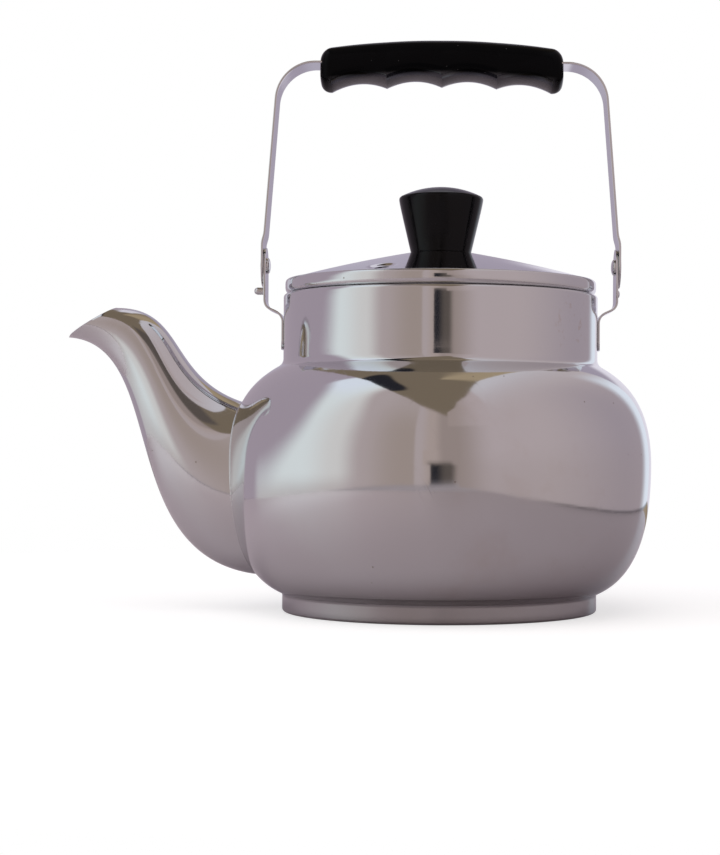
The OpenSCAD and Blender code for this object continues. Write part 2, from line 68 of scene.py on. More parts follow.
MM = 0.001
IMAGE_W, IMAGE_H = 720, 855
SWING = next(joint for joint in frame["joints"] if joint["name"] == "bail_swing")
PIVOT_Z = SWING["pos_m"][2]
MOUTH_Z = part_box("neck_collar")[1].z
STRAP_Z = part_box("bail_strap")[1].z
FOOT_TOP = (0.0072, 0.0082)  # Heights between which the foot's duller face, with its painted shade, ends
STAINED = (0.056, -0.042, 0.126)  # Middle of the stains on the neck
KNOB_TOP = (0.190, 0.195)  # Heights between the knob and the grip
GROOVES_Z = (0.2, 0.2385)  # Heights of the grip's glossy underside, which has a painted sheen, at its middle
GROOVES_X = 0.049  # Half the length of that underside
TINY = 1e-7  # Lengths below this count as none
TABLE_DROP = 0.1 * MM  # Keeps the table clear of the foot
# Counts of points round each kind of piece
BODY_TURNS, SPOUT_TURNS, PEG_TURNS, RIVET_TURNS = 256, 112, 48, 64
VENT_TURNS, SKIRT_TURNS, KNOB_TURNS, GRIP_TURNS, TABLE_TURNS = 64, 192, 160, 96, 128


# Properties

def length(name, millimetres, description):
    """Property for a length, given in millimetres."""
    return FloatProperty(
        name=name, description=description, default=millimetres * MM, unit="LENGTH"
    )


def angle(name, degrees, description):
    """Property for an angle, given in degrees."""
    return FloatProperty(
        name=name, description=description, default=math.radians(degrees), subtype="ANGLE"
    )


def share(name, value, description):
    """Property for a share between 0 and 1."""
    return FloatProperty(
        name=name, description=description, default=value, min=0, max=1, subtype="FACTOR"
    )


def colour(name, value, description):
    """Property for a linear colour."""
    return FloatVectorProperty(
        name=name, description=description, default=value, min=0, max=1, size=3, subtype="COLOR"
    )


class BodySizes(bpy.types.PropertyGroup):
    """Sizes of the drawn body."""

    neck_r: length("Neck radius", 70, "Outer radius of the foot and of the neck")
    belly_r: length("Belly radius", 94, "Outer radius of the belly at its waist")
    waist_z: length("Waist height", 65, "Height of the waist")
    foot_z: length("Foot height", 8, "Height of the crease between foot and belly")
    shoulder_z: length("Shoulder height", 109.5, "Height of the crease between belly and neck")
    wall: length("Wall", 0.8, "Thickness of the body's sheet")
    foot_slope: angle("Foot slope", 24, "Slope at which the belly leaves the foot")
    shoulder_slope: angle("Shoulder slope", 30, "Slope at which the shoulder meets the neck")
    foot_pull: length("Foot fullness", 18.5, "Fullness of the belly just above the foot")
    low_pull: length("Low fullness", 30.5, "Fullness of the belly just below the waist")
    high_pull: length("High fullness", 27, "Fullness of the belly just above the waist")
    shoulder_pull: length("Shoulder fullness", 14.5, "Fullness of the belly at the shoulder")
    crease: length("Crease", 2.5, "Length of each side of the crease below the neck")
    foot_crease: length("Foot crease", 1.2, "Length of each side of the crease above the foot")
    foot_round: length("Foot rounding", 1.2, "Radius under the edge of the foot")
    neck_round: length("Neck rounding", 4, "Distance from the neck's face to the flat seat")
    neck_corner: length("Neck corner", 1.6, "Radius of the corner at the top of the neck")
    seat_w: length("Seat width", 1.8, "Width of the flat seat round the mouth")
    lip_round: length("Lip rounding", 1.5, "Radius where the seat turns down into the mouth")
    lip_h: length("Lip depth", 5, "Depth of the lip inside the mouth")
    stand_w: length("Stand width", 8, "Width of the flat ring that the pot stands on")
    base_recess: length("Base recess", 1.2, "Height of the base panel inside that ring")
    port_w: length("Port width", 19, "Width of the port behind the spout")
    port_h: length("Port height", 52, "Height of the port behind the spout")
    port_z: length("Port middle", 53, "Height of the port's centre")


class SpoutSizes(bpy.types.PropertyGroup):
    """Sizes of the swan-neck spout."""

    out: length("Reach", 72, "How far the pouring lip stands out from the belly")
    tip_z: length("Tip height", 121, "Height of the pouring lip")
    pour_len: length("Mouth length", 25.5, "Length of the slanted mouth")
    pour_w: length("Mouth width", 21, "Width of the slanted mouth")
    pour_slope: angle("Mouth slope", 31.5, "Slope of the mouth")
    root_top_z: length("Root top", 91.5, "Height of the root's top on the belly")
    root_low_z: length("Root bottom", 15.2, "Height of the root's bottom on the belly")
    root_w: length("Root width", 46, "Width of the root")
    root_sink: length("Root sink", 4, "Depth at which the outlines start inside the belly")
    under_pull: length("Underside run", 71, "How far the underside runs out before it climbs")
    under_rise: length("Underside rise", 3.2, "Rise of that first stretch of the underside")
    lip_pull: length("Lip bend", 46.5, "How far the underside bends back below the lip")
    under_lift: length("Lip drop", 3.4, "Drop of that last stretch of the underside")
    top_pull: length("Top run", 38, "How far the top runs out before it climbs")
    top_rise: length("Top rise", 10, "Rise of that first stretch of the top")
    crown_pull: length("Crown bend", 31, "How far the top bends back behind the mouth")
    wall: length("Wall", 0.8, "Thickness of the spout's sheet")
    weld_r: length("Weld radius", 0.45, "Radius of the weld bead round the root")


class LugSizes(bpy.types.PropertyGroup):
    """Sizes of the lugs, the stop pegs and the rivets."""

    t: length("Thickness", 1, "Thickness of a lug's strip")
    w: length("Width", 16, "Width of a lug")
    out: length("Stand-off", 8.75, "How far a lug's outer face stands off the neck")
    plate_drop: length("Plate depth", 9, "Depth of the weld plate below the mouth")
    plate_h: length("Plate height", 15.5, "Height of the weld plate")
    arm_rise: length("Arm rise", 3.5, "Rise of the arm from the plate to the upright")
    bend: length("Bend", 3, "Length of each side of the bends")
    edge: length("Edge rounding", 0.3, "Radius along the edges of lugs and strap")
    gap: length("Weld gap", 0.05, "Gap between weld plate and neck")
    peg_r: length("Peg radius", 1.65, "Radius of a stop peg")
    spout_peg_len: length("Spout-side peg", 4.25, "How far the spout-side stop peg stands out")
    rear_peg_len: length("Rear peg", 1.75, "How far the rear stop peg stands out")
    peg_drop: length("Peg drop", 11.6, "Distance of a stop peg below the pivot")
    peg_side: length("Peg side", 4, "Distance of a stop peg to one side of the pivot")
    rivet_r: length("Rivet radius", 2.5, "Radius of a rivet's shank")
    head_r: length("Rivet head radius", 3.7, "Radius of a rivet's heads")
    head_h: length("Rivet head height", 1.6, "Height of a rivet's inner head")
    peen_h: length("Rivet peen height", 0.7, "Height of a rivet's outer end")


class BailSizes(bpy.types.PropertyGroup):
    """Sizes of the bent strap and of the grip."""

    strap_w: length("Strap width", 18, "Width of the strap")
    strap_t: length("Strap thickness", 1, "Thickness of the strap")
    lean: angle("Lean", 4.5, "Lean of the legs")
    bow_r: length("Bow radius", 17.5, "Radius of the upper bends at mid thickness")
    leg_end_r: length("Leg end radius", 9.4, "Radius of the round ends of the legs")
    joggle: length("Step", 1.2, "How far the legs step in above the lugs")
    joggle_h: length("Step height", 7, "Height over which the legs step in")
    lap_gap: length("Lap gap", 0.12, "Gap between a leg and what lies beside it")
    grip_len: length("Grip length", 108, "Length of the grip")
    grip_d: length("Grip depth", 24, "Depth of the grip from front to back")
    grip_above: length("Grip above strap", 10.6, "Height of the grip's top above the strap")
    grip_below: length("Grip below strap", 9.6, "Depth of the grip's underside below the strap")
    groove_w: length("Groove width", 24.5, "Width of one finger groove")
    groove_h: length("Groove depth", 2.8, "Depth of a finger groove")
    arch: length("Arch", 4, "Drop of the top of the grip's ends below its middle")
    hollow: length("Hollow", 3, "Drop of the underside of the grip's ends below its middle")
    end_round: length("End rounding", 5, "Radius round the grip's ends")
    edge: share("Slanted edge", 0.24, "Share of the grip's height that its lower edges take")
    slot_gap: length("Slot gap", 0.15, "Clearance of the strap in the grip's slot")


class LidSizes(bpy.types.PropertyGroup):
    """Sizes of the lid, its skirt and its knob."""

    sheet: length("Sheet", 0.7, "Thickness of the lid's sheet")
    rim_inset: length("Rim inset", 0.7, "How far the rim stays inside the neck's radius")
    rim_round: length("Rim rounding", 3.3, "Radius of the rolled rim")
    rise: length("Rise", 18.8, "Height of the knob's seat above the mouth")
    hole_r: length("Screw hole", 2.2, "Radius of the hole for the knob's screw")
    seat_r: length("Knob seat", 14.4, "Radius of the flat knob seat")
    crown_slope: angle("Crown slope", 11, "Slope beside the knob seat")
    rim_slope: angle("Rim slope", 16, "Slope beside the rim")
    vent_r: length("Vent radius", 3.2, "Radius of the steam vent")
    vent_ring: length("Vent ring", 4.2, "Width of the pressed ring round the vent")
    vent_sink: length("Vent depth", 1, "Depth of the pressed ring")
    vent_out: length("Vent distance", 59, "Distance of the vent from the axis")
    vent_bearing: angle("Vent bearing", 245, "Bearing of the vent, anticlockwise from +X")
    skirt_t: length("Skirt sheet", 0.6, "Thickness of the skirt")
    skirt_h: length("Skirt depth", 9, "Depth of the skirt below the seat")
    skirt_gap: length("Skirt gap", 0.5, "Clearance of the skirt in the mouth")
    weld_gap: length("Weld gap", 0.05, "Gap between skirt and lid")
    knob_low_r: length("Knob foot", 13.6, "Radius of the knob's foot")
    knob_top_r: length("Knob edge", 18.8, "Radius of the knob's widest edge")
    knob_edge_h: length("Knob edge height", 24, "Height of the knob's widest edge")
    knob_h: length("Knob height", 29.6, "Height of the whole knob")
    knob_round: length("Knob rounding", 1.6, "Radius round the knob's widest edge")
    insert_r: length("Insert bore", 4.23, "Radius of the bore for the insert")
    insert_h: length("Insert depth", 12.03, "Depth of the bore for the insert")


class Finishes(bpy.types.PropertyGroup):
    """Colours and gloss of the materials."""

    steel: colour("Polished steel", (0.725, 0.73, 0.74), "Reflected colour of the polished sheet")
    stain: colour("Stain", (0.60, 0.52, 0.45), "Colour of the faint stains")
    speck: colour("Speck", (0.20, 0.14, 0.09), "Colour of the small specks")
    # The foot's colour is painted shade, darker than the polished steel
    foot: colour("Dull foot", (0.47, 0.46, 0.455), "Colour of the duller face of the foot")
    plain: colour("Plain steel", (0.56, 0.55, 0.56), "Colour of the unpolished inner pieces")
    black: colour("Black", (0.0025, 0.0025, 0.003), "Colour of the moulded knob and grip")
    dust: colour("Dust", (0.16, 0.155, 0.16), "Colour of the dust on the black pieces")
    # Painted sheen: the lighter, bluish colour of the grip's grooves
    fingered: colour("Fingered black", (0.016, 0.016, 0.022), "Colour of the grip's shiny grooves")
    brass: colour("Brass", (0.72, 0.58, 0.30), "Colour of the threaded insert")
    steel_rough: share("Steel roughness", 0.055, "Roughness of the clean polished sheet")
    plain_rough: share("Plain roughness", 0.30, "Roughness of the unpolished pieces")
    black_rough: share("Black roughness", 0.10, "Roughness of the moulded pieces")


class StageSettings(bpy.types.PropertyGroup):
    """Camera, table and the tent that the steel mirrors."""

    camera_y: length("Camera distance", 840, "Distance of the camera from the pot's axis")
    camera_z: length("Camera height", 77.8, "Height of the camera above the table")
    camera_roll: angle("Camera roll", -0.3, "Turn of the camera about its view")
    focal_px: FloatProperty(name="Focal length", description="Focal length in pixels", default=1877)
    axis_px: FloatProperty(name="Axis column", description="Column of the pot's axis", default=440)
    level_px: FloatProperty(name="Level row", description="Row at the camera's height", default=436)
    floor_r: length("Table radius", 520, "Radius of the table")
    floor_white: colour("Table", (0.90, 0.90, 0.90), "Colour of the table as it is seen")
    floor_grey: colour("Table mirrored", (0.38, 0.335, 0.355), "Colour of the table in the steel")
    floor_lit: colour("Table, lit", (0.66, 0.62, 0.65), "Colour of the table by the lit panel")
    ceiling: colour("Ceiling", (0.21, 0.165, 0.12), "Colour above the tent")
    ceiling_back: colour("Ceiling behind", (0.42, 0.33, 0.22), "Colour above the tent's back")
    right_wall: colour("Right wall", (0.53, 0.45, 0.46), "Colour of the tent's right wall")
    right_shade: colour("Right wall, shaded", (0.41, 0.35, 0.39), "Colour of its shaded side")
    left_wall: colour("Left wall", (0.50, 0.425, 0.425), "Colour of the tent's left wall")
    left_front: colour("Left wall, front", (0.41, 0.335, 0.305), "Colour of that wall's front end")
    bright: colour("Lit panel", (0.75, 0.735, 0.725), "Colour of the lit panel in the left wall")
    bright_back: colour("Lit panel, back", (0.82, 0.875, 0.885), "Colour of that panel's far end")
    cool: colour("Cool light", (0.84, 0.90, 1.0), "Colour of the lit cloth high up and behind")
    lilac: colour("Lilac shade", (0.42, 0.355, 0.415), "Colour of the shaded cloth")
    back: colour("Back", (0.48, 0.445, 0.54), "Colour of the tent's back")
    back_middle: colour("Back, middle", (0.41, 0.365, 0.45), "Colour of the middle of that back")
    back_low: colour("Back, low", (0.80, 0.77, 0.86), "Colour of that back above the table")
    slit: colour("Slit", (0.37, 0.30, 0.28), "Colour of the slit between the walls")
    slit_light: colour("Slit, lit", (0.475, 0.388, 0.36), "Colour of the lit edge of the slit")
    gloom: colour("Gloom", (0.115, 0.095, 0.085), "Colour of the dim room in the slit")
    dark: colour("Dark", (0.02, 0.02, 0.026), "Colour of the dark camera and frame")


class TeapotSettings(bpy.types.PropertyGroup):
    """All sizes, colours and stage settings."""

    body: PointerProperty(type=BodySizes)
    spout: PointerProperty(type=SpoutSizes)
    lug: PointerProperty(type=LugSizes)
    bail: PointerProperty(type=BailSizes)
    lid: PointerProperty(type=LidSizes)
    finish: PointerProperty(type=Finishes)
    stage: PointerProperty(type=StageSettings)


# Shader nodes

class Value:
    """Socket of a node tree that Python's operators add Math nodes to."""

    def __init__(self, nodes, socket):
        self.nodes = nodes
        self.socket = socket

    def __add__(self, other):
        return self.nodes.math("ADD", self, other)

    __radd__ = __add__

    def __sub__(self, other):
        return self.nodes.math("SUBTRACT", self, other)

    def __rsub__(self, other):
        return self.nodes.math("SUBTRACT", other, self)

    def __mul__(self, other):
        return self.nodes.math("MULTIPLY", self, other)

    __rmul__ = __mul__

    def __neg__(self):
        return self * -1

    def __abs__(self):
        return self.nodes.math("ABSOLUTE", self)

    def smooth(self, low, high):
        """Rises softly from 0 at low to 1 at high."""
        settings = {"interpolation_type": "SMOOTHSTEP"}
        sockets = {"Value": self, "From Min": low, "From Max": high}
        return self.nodes.add("ShaderNodeMapRange", settings, sockets)

    def between(self, low, high, soft):
        """Is 1 between low and high, with soft edges."""
        return self.smooth(low - soft, low + soft) * (1 - self.smooth(high - soft, high + soft))


class Nodes:
    """Adds nodes to one emptied node tree."""

    def __init__(self, tree):
        self.tree = tree
        tree.nodes.clear()

    def add(self, kind, settings=None, sockets=None, outputs=0):
        """Adds a node, sets it up, fills its sockets and returns the wanted output or outputs."""
        node = self.tree.nodes.new(kind)
        for name, value in (settings or {}).items():
            setattr(node, name, value)
        for key, value in (sockets or {}).items():
            socket = self.pick(node.inputs, key)
            if isinstance(value, Value):
                self.tree.links.new(value.socket, socket)
            elif socket.type == "RGBA":
                socket.default_value = (*value, 1)
            else:
                socket.default_value = value
        if isinstance(outputs, tuple):
            return [Value(self, self.pick(node.outputs, key)) for key in outputs]
        return Value(self, self.pick(node.outputs, outputs)) if node.outputs else None

    @staticmethod
    def pick(sockets, key):
        """Socket by its place, or by its name among those in use."""
        if isinstance(key, int):
            return [socket for socket in sockets if socket.enabled][key]
        return next(socket for socket in sockets if socket.name == key and socket.enabled)

    def place(self):
        """Coordinates of the object."""
        return self.add("ShaderNodeTexCoord", None, None, "Object")

    def split(self, vector, axes="XYZ"):
        """Parts of a vector along the named axes."""
        return self.add("ShaderNodeSeparateXYZ", None, {0: vector}, tuple(axes))

    def math(self, operation, *values):
        return self.add("ShaderNodeMath", {"operation": operation}, dict(enumerate(values)))

    def mix(self, factor, first, second):
        """Colour between two colours."""
        sockets = {"Factor": factor, "A": first, "B": second}
        return self.add("ShaderNodeMix", {"data_type": "RGBA"}, sockets, "Result")

    def layered(self, tint, *layers):
        """Colour with other colours laid over it in turn, each by its own factor."""
        for factor, over in layers:
            tint = self.mix(factor, tint, over)
        return tint

    def stretched(self, vector, scale, turn=(0, 0, 0)):
        """Coordinates turned and then scaled, for streaks and scratches."""
        settings = {"rotation_type": "EULER_XYZ"}
        vector = self.add("ShaderNodeVectorRotate", settings, {"Vector": vector, "Rotation": turn})
        return self.add("ShaderNodeVectorMath", {"operation": "MULTIPLY"}, {0: vector, 1: scale})

    def noise(self, vector, scale, detail=2.0, rough=0.5):
        sockets = {"Vector": vector, "Scale": scale, "Detail": detail, "Roughness": rough}
        return self.add("ShaderNodeTexNoise", None, sockets)

    def specks(self, vector, scale, size):
        """Small dots in a few cells of a random pattern."""
        spread, cell = self.add(
            "ShaderNodeTexVoronoi", None, {"Vector": vector, "Scale": scale}, ("Distance", "Color")
        )
        chance = self.add("ShaderNodeSeparateColor", None, {"Color": cell})
        return (1 - spread.smooth(size * 0.5, size)) * chance.smooth(0.86, 0.9)

    def scratches(self, vector, count=3):
        """Fine straight scratches in a few directions."""
        total = None
        for i in range(count):
            turn = (0.5 + 1.1 * i, 0.9 - 0.8 * i, 0.4 + 1.7 * i)
            lines = self.noise(self.stretched(vector, (9, 900, 9), turn), scale=1, detail=1)
            patch = self.noise(vector, scale=26 + 9 * i, detail=1)
            marks = lines.smooth(0.66, 0.72) * patch.smooth(0.5, 0.62)
            total = marks if total is None else total + marks
        return total

    def bump(self, height, strength, distance):
        sockets = {"Strength": strength, "Distance": distance, "Height": height}
        return self.add("ShaderNodeBump", None, sockets, "Normal")

    def surface(self, **sockets):
        """Principled surface, given to the material's output."""
        named = {key.replace("_", " ").title(): value for key, value in sockets.items()}
        named = {name.replace("Ior", "IOR"): value for name, value in named.items()}
        shader = self.add("ShaderNodeBsdfPrincipled", None, named)
        self.add("ShaderNodeOutputMaterial", None, {"Surface": shader})


def polished_steel(nodes, finish):
    """Mirror polish with faint turned lines, stains, scratches, specks and a duller foot with
    painted shade.
    """
    place = nodes.place()
    x, z = nodes.split(place, "XZ")
    cloud = nodes.noise(place, scale=30, detail=4, rough=0.6)
    stain = cloud.smooth(0.52, 0.72) * nodes.noise(place, scale=9).smooth(0.42, 0.62)
    off = nodes.add(
        "ShaderNodeVectorMath", {"operation": "DISTANCE"}, {0: place, 1: STAINED}, "Value"
    )
    drops = nodes.noise(place, scale=230, detail=3, rough=0.6).smooth(0.56, 0.66)
    stain = stain + (1 - off.smooth(0.006, 0.017)) * drops * 2
    turned = nodes.noise(nodes.stretched(place, (6, 6, 1400)), scale=1)
    scratch = nodes.scratches(place)
    speck = nodes.specks(place, scale=150, size=0.07)
    # Duller foot: more roughness, and a darker colour, strongest across the middle, that is painted
    # shade from the reflected contact shadow
    dull = (1 - z.smooth(*FOOT_TOP)) * (1 - abs(x).smooth(0.015, 0.06) * 0.5)
    tint = nodes.layered(
        finish.steel, (stain * 0.22, finish.stain), (speck * 0.7, finish.speck),
        (dull, finish.foot),
    )
    rough = finish.steel_rough + cloud * 0.03 + stain * 0.05 + scratch * 0.05 + speck * 0.25
    height = turned * 0.5 + scratch * 0.6 + nodes.noise(place, scale=45) * 6
    nodes.surface(
        base_color=tint, metallic=1.0, roughness=rough + dull * 0.08,
        normal=nodes.bump(height, strength=0.06, distance=0.0001),
    )


def plain_steel(nodes, finish):
    """Pressed sheet that was only pickled."""
    place = nodes.place()
    cloud = nodes.noise(place, scale=60, detail=5, rough=0.65)
    turned = nodes.noise(nodes.stretched(place, (12, 12, 900)), scale=1)
    nodes.surface(
        base_color=nodes.mix(cloud.smooth(0.5, 0.8) * 0.3, finish.plain, finish.stain),
        metallic=1.0, roughness=finish.plain_rough + cloud * 0.12,
        normal=nodes.bump(turned + cloud, strength=0.15, distance=0.0002),
    )


def black_moulding(nodes, finish):
    """Glossy thermoset with a soft waviness, fine scratches, a little dust, and glossier grooves
    with a lighter painted sheen.
    """
    place = nodes.place()
    x, z = nodes.split(place, "XZ")
    cloud = nodes.noise(place, scale=70, detail=4, rough=0.6)
    scratch = nodes.scratches(place)
    dust = nodes.specks(place, scale=420, size=0.10) + nodes.specks(place, scale=190, size=0.05)
    knob = (1 - z.smooth(*KNOB_TOP)) * 0.15
    arched = z + x * x * 1.2
    # Grooves under the grip: a glossier coat, and a lighter bluish colour that is a painted
    # reflection of the table
    fingered = arched.between(*GROOVES_Z, 0.0012) * x.between(-GROOVES_X, GROOVES_X, 0.003)
    tint = nodes.layered(finish.black, (fingered, finish.fingered), (dust * 0.5, finish.dust))
    rough = finish.black_rough + cloud.smooth(0.4, 0.8) * 0.07 + scratch * 0.08 + dust * 0.2
    height = nodes.noise(place, scale=90) * 3 + scratch * 0.4 + dust * 0.5
    nodes.surface(
        base_color=tint, roughness=rough, ior=1.12, coat_weight=knob + fingered,
        coat_ior=1.75, coat_roughness=0.14,
        normal=nodes.bump(height, strength=0.08, distance=0.0003),
    )


def turned_brass(nodes, finish):
    """Brass as it comes off the lathe."""
    turned = nodes.noise(nodes.stretched(nodes.place(), (10, 10, 2500)), scale=1)
    nodes.surface(
        base_color=finish.brass, metallic=1.0, roughness=0.25 + turned * 0.15,
        normal=nodes.bump(turned, strength=0.1, distance=0.0002),
    )


RECIPES = {
    "polished_steel": polished_steel,
    "plain_steel": plain_steel,
    "black_plastic": black_moulding,
    "brass": turned_brass,
}


def new_material(name):
    """Material and the emptied node tree that it shows."""
    material = bpy.data.materials.new(name)
    material.use_nodes = True
    return material, Nodes(material.node_tree)


def material_for(slot):
    """Material of one of the record's slots, made at its first use."""
    name = f"teapot_{slot}"
    if name not in bpy.data.materials:
        _, nodes = new_material(name)
        RECIPES[slot](nodes, bpy.context.scene.teapot.finish)
    return bpy.data.materials[name]


# Outlines

def heading(turn):
    """Direction at an angle, one long."""
    return np.array((math.cos(turn), math.sin(turn)))


def unit(rows):
    """Vectors in rows, each made one long."""
    return rows / np.linalg.norm(rows, axis=1)[:, None]


def lengths_along(path):
    """Length of a path up to each of its points."""
    return np.concatenate(((0,), np.cumsum(np.linalg.norm(np.diff(path, axis=0), axis=1))))


def path_length(path):
    return lengths_along(path)[-1]


def bezier(points, shares):
    """Points at the given shares of a curve that is pulled towards its inner points."""
    shares = np.asarray(shares, float)[:, None]
    level = [np.asarray(point, float)[None, :] for point in points]
    while len(level) > 1:
        level = [a * (1 - shares) + b * shares for a, b in zip(level, level[1:])]
    return level[0]


def curve(points, steps):
    """Curve as points, without its first one."""
    return bezier(points, np.arange(1, steps + 1) / steps)


def arc(centre, radius, start, end, steps):
    """Arc as points, without its first one; the angles are in degrees."""
    turns = np.radians(start + (end - start) * np.arange(1, steps + 1) / steps)
    return np.asarray(centre) + radius * np.stack((np.cos(turns), np.sin(turns)), axis=1)


def line(start, end, steps):
    """Straight line as points, without its first one."""
    shares = np.arange(1, steps + 1)[:, None] / steps
    return np.asarray(start) * (1 - shares) + np.asarray(end) * shares


def beside(path, distance):
    """Path moved to its left."""
    steps = np.diff(path, axis=0)
    left = unit(np.stack((-steps[:, 1], steps[:, 0]), axis=1))
    total = np.vstack((left[:1], left)) + np.vstack((left, left[-1:]))
    return path + 2 * distance * total / (total * total).sum(axis=1)[:, None]


def sheet(path, thickness):
    """Closed outline of a sheet to the left of a path."""
    return np.vstack((path, beside(path, thickness)[::-1]))


def resampled(path, places):
    """Points at the given lengths along a path."""
    run = lengths_along(path)
    return np.stack([np.interp(places, run, column) for column in path.T], axis=1)


def resampled_loop(points, count):
    """Evenly spaced points along a closed line."""
    closed = np.vstack((points, points[:1]))
    return resampled(closed, np.arange(count) * path_length(closed) / count)


# Meshes

def revolve(outline, turns, closed=False):
    """Outline of radii and heights turned about Z; a point on the axis becomes a pole."""
    count = len(turns)
    points, rings, faces = [], [], []
    for radius, height in outline:
        if radius < TINY:
            rings.append([len(points)] * count)
            points.append((0, 0, height))
            continue
        rings.append(list(range(len(points), len(points) + count)))
        points.extend((radius * math.cos(turn), radius * math.sin(turn), height) for turn in turns)
    pairs = list(zip(rings, rings[1:]))
    if closed:
        pairs.append((rings[-1], rings[0]))
    for a, b in pairs:
        for i in range(count):
            k = (i + 1) % count
            corners = list(dict.fromkeys((a[i], a[k], b[k], b[i])))
            if len(corners) > 2:
                faces.append(corners)
    return np.array(points), faces


def even_turns(count):
    return np.arange(count) * math.tau / count


def loft(rings, capped=False, looped=False):
    """Surface through rings of equal count."""
    rings = np.asarray(rings)
    number, count = rings.shape[:2]
    faces = []
    for i in range(number if looped else number - 1):
        a, b = i * count, (i + 1) % number * count
        for j in range(count):
            k = (j + 1) % count
            faces.append((a + j, a + k, b + k, b + j))
    if capped:
        faces.append(tuple(range(count)))
        faces.append(tuple(range((number - 1) * count, number * count)))
    return rings.reshape(-1, 3), faces


def bent_plate(path, half_widths, half_t, edge, across=17, blocks=40):
    """Strip along a path in X and Z, with its outline in the half widths and rounded edges."""
    tangent = unit(np.gradient(path, axis=0))
    run = lengths_along(path)
    spread = np.sin(np.linspace(-math.pi / 2, math.pi / 2, across))
    side = half_widths[:, None] * spread[None, :]
    along = np.repeat(run[:, None], across, axis=1)
    rim = np.concatenate([np.stack((run, s * half_widths), axis=1) for s in (-1, 1)])
    flat = np.stack((along, side), axis=2).reshape(-1, 2)
    inside = np.concatenate([
        np.linalg.norm(block[:, None, :] - rim[None, :, :], axis=2).min(axis=1)
        for block in np.array_split(flat, blocks)
    ]).reshape(side.shape)
    short = np.clip(edge - inside, 0, edge)
    depth = half_t - edge + np.sqrt(edge ** 2 - short ** 2)
    skins = []
    for s in (1, -1):
        x = path[:, None, 0] - s * tangent[:, None, 1] * depth
        z = path[:, None, 1] + s * tangent[:, None, 0] * depth
        skins.append(np.stack((x, side, z), axis=2))
    rows = len(path)
    points = np.concatenate([skin.reshape(-1, 3) for skin in skins])
    under = rows * across
    faces = []
    for i in range(rows - 1):
        for j in range(across - 1):
            a = i * across + j
            faces.append((a, a + 1, a + across + 1, a + across))
            faces.append((under + a, under + a + across, under + a + across + 1, under + a + 1))
        for a in (i * across, i * across + across - 1):
            faces.append((a, a + across, under + a + across, under + a))
    for i in (0, rows - 1):
        for a in range(i * across, i * across + across - 1):
            faces.append((a, a + 1, under + a + 1, under + a))
    return points, faces


def make_object(name, points, faces):
    """Object with a clean mesh, in the scene."""
    mesh = bpy.data.meshes.new(name)
    corners = [tuple(map(float, point)) for point in points]
    mesh.from_pydata(corners, [], [tuple(map(int, face)) for face in faces])
    clean = bmesh.new()
    clean.from_mesh(mesh)
    bmesh.ops.remove_doubles(clean, verts=clean.verts, dist=TINY)
    bmesh.ops.recalc_face_normals(clean, faces=clean.faces)
    clean.to_mesh(mesh)
    clean.free()
    piece = bpy.data.objects.new(name, mesh)
    bpy.context.scene.collection.objects.link(piece)
    return piece


def cut_away(piece, points, faces):
    """Takes a closed shape out of a piece."""
    tool = make_object("cutter", points, faces)
    step = piece.modifiers.new("cut", "BOOLEAN")
    step.operation = "DIFFERENCE"
    step.solver = "EXACT"
    step.object = tool
    graph = bpy.context.evaluated_depsgraph_get()
    made = bpy.data.meshes.new_from_object(piece.evaluated_get(graph))
    piece.modifiers.clear()
    old = piece.data
    piece.data = made
    made.name = piece.name
    bpy.data.meshes.remove(old)
    bpy.data.objects.remove(tool)
    if not made.polygons:
        raise RuntimeError(f"nothing is left of {piece.name} after its cut")


def paint(piece, slot):
    """Gives a piece the material of a slot."""
    piece.data.materials.clear()
    piece.data.materials.append(material_for(slot))


def dress(piece, slot, body, nodes=(), sharp=math.radians(35)):
    """Gives a piece its material, its smooth shading and the body that carries it."""
    piece.data.shade_smooth()
    piece.data.set_sharp_from_angle(angle=sharp)
    paint(piece, slot)
    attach(piece, body)
    if nodes:
        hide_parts(*nodes)
    return piece


def paint_node(node, slot):
    """Gives a finer material to a solid that is shown as it is."""
    paint(frame["nodes"][node], slot)


def half_turn(points):
    """The same points on the spout's side of the pot."""
    return points * np.array((-1, -1, 1))


def turned_along_x(points, place):
    """Points made about Z, laid along X at a place."""
    return points[:, [2, 1, 0]] * np.array((1, -1, 1)) + np.asarray(place)


# Body

def belly_path(body):
    """Outside of the belly, from the foot's crease to the neck's."""
    foot = np.array((body.neck_r, body.foot_z))
    neck = np.array((body.neck_r, body.shoulder_z))
    up, down = heading(body.foot_slope), heading(-body.shoulder_slope)
    waist = np.array((body.belly_r, body.waist_z))
    low = (
        foot + body.foot_crease * up, foot + body.foot_pull * up,
        waist - (0, body.low_pull), waist,
    )
    high = (
        waist, waist + (0, body.high_pull), neck + body.shoulder_pull * down,
        neck + body.crease * down,
    )
    return np.vstack((low[:1], curve(low, steps=60), curve(high, steps=60)))


def base_path(body):
    """Outside of the base pan, from its middle to its seam."""
    stand_r = body.neck_r - body.foot_round
    ring_r = stand_r - body.stand_w
    recess = body.base_recess
    step_r, middle_r = ring_r - 6 * recess, ring_r - 3 * recess
    step = ((step_r, recess), (middle_r, recess), (middle_r, 0), (ring_r, 0))
    return np.vstack((
        (0, recess), step[0], curve(step, steps=10), (stand_r, 0),
        arc((stand_r, body.foot_round), body.foot_round, 270, 360, steps=8),
        (body.neck_r, (body.foot_round + body.foot_z - body.crease) / 2),
    ))


def wall_path(body):
    """Outside of the body, from the seam of the base pan to the seam of the collar."""
    foot = np.array((body.neck_r, body.foot_z))
    neck = np.array((body.neck_r, body.shoulder_z))
    crease, foot_crease = np.array((0, body.crease)), np.array((0, body.foot_crease))
    belly = belly_path(body)
    return np.vstack((
        base_path(body)[-1], foot - foot_crease,
        curve((foot - foot_crease, foot, belly[0]), steps=10), belly[1:],
        curve((belly[-1], neck, neck + crease), steps=10), neck + 2 * crease,
    ))


def seat_in_r(body):
    """Radius of the inner edge of the flat seat round the mouth."""
    return body.neck_r - body.neck_round - body.seat_w


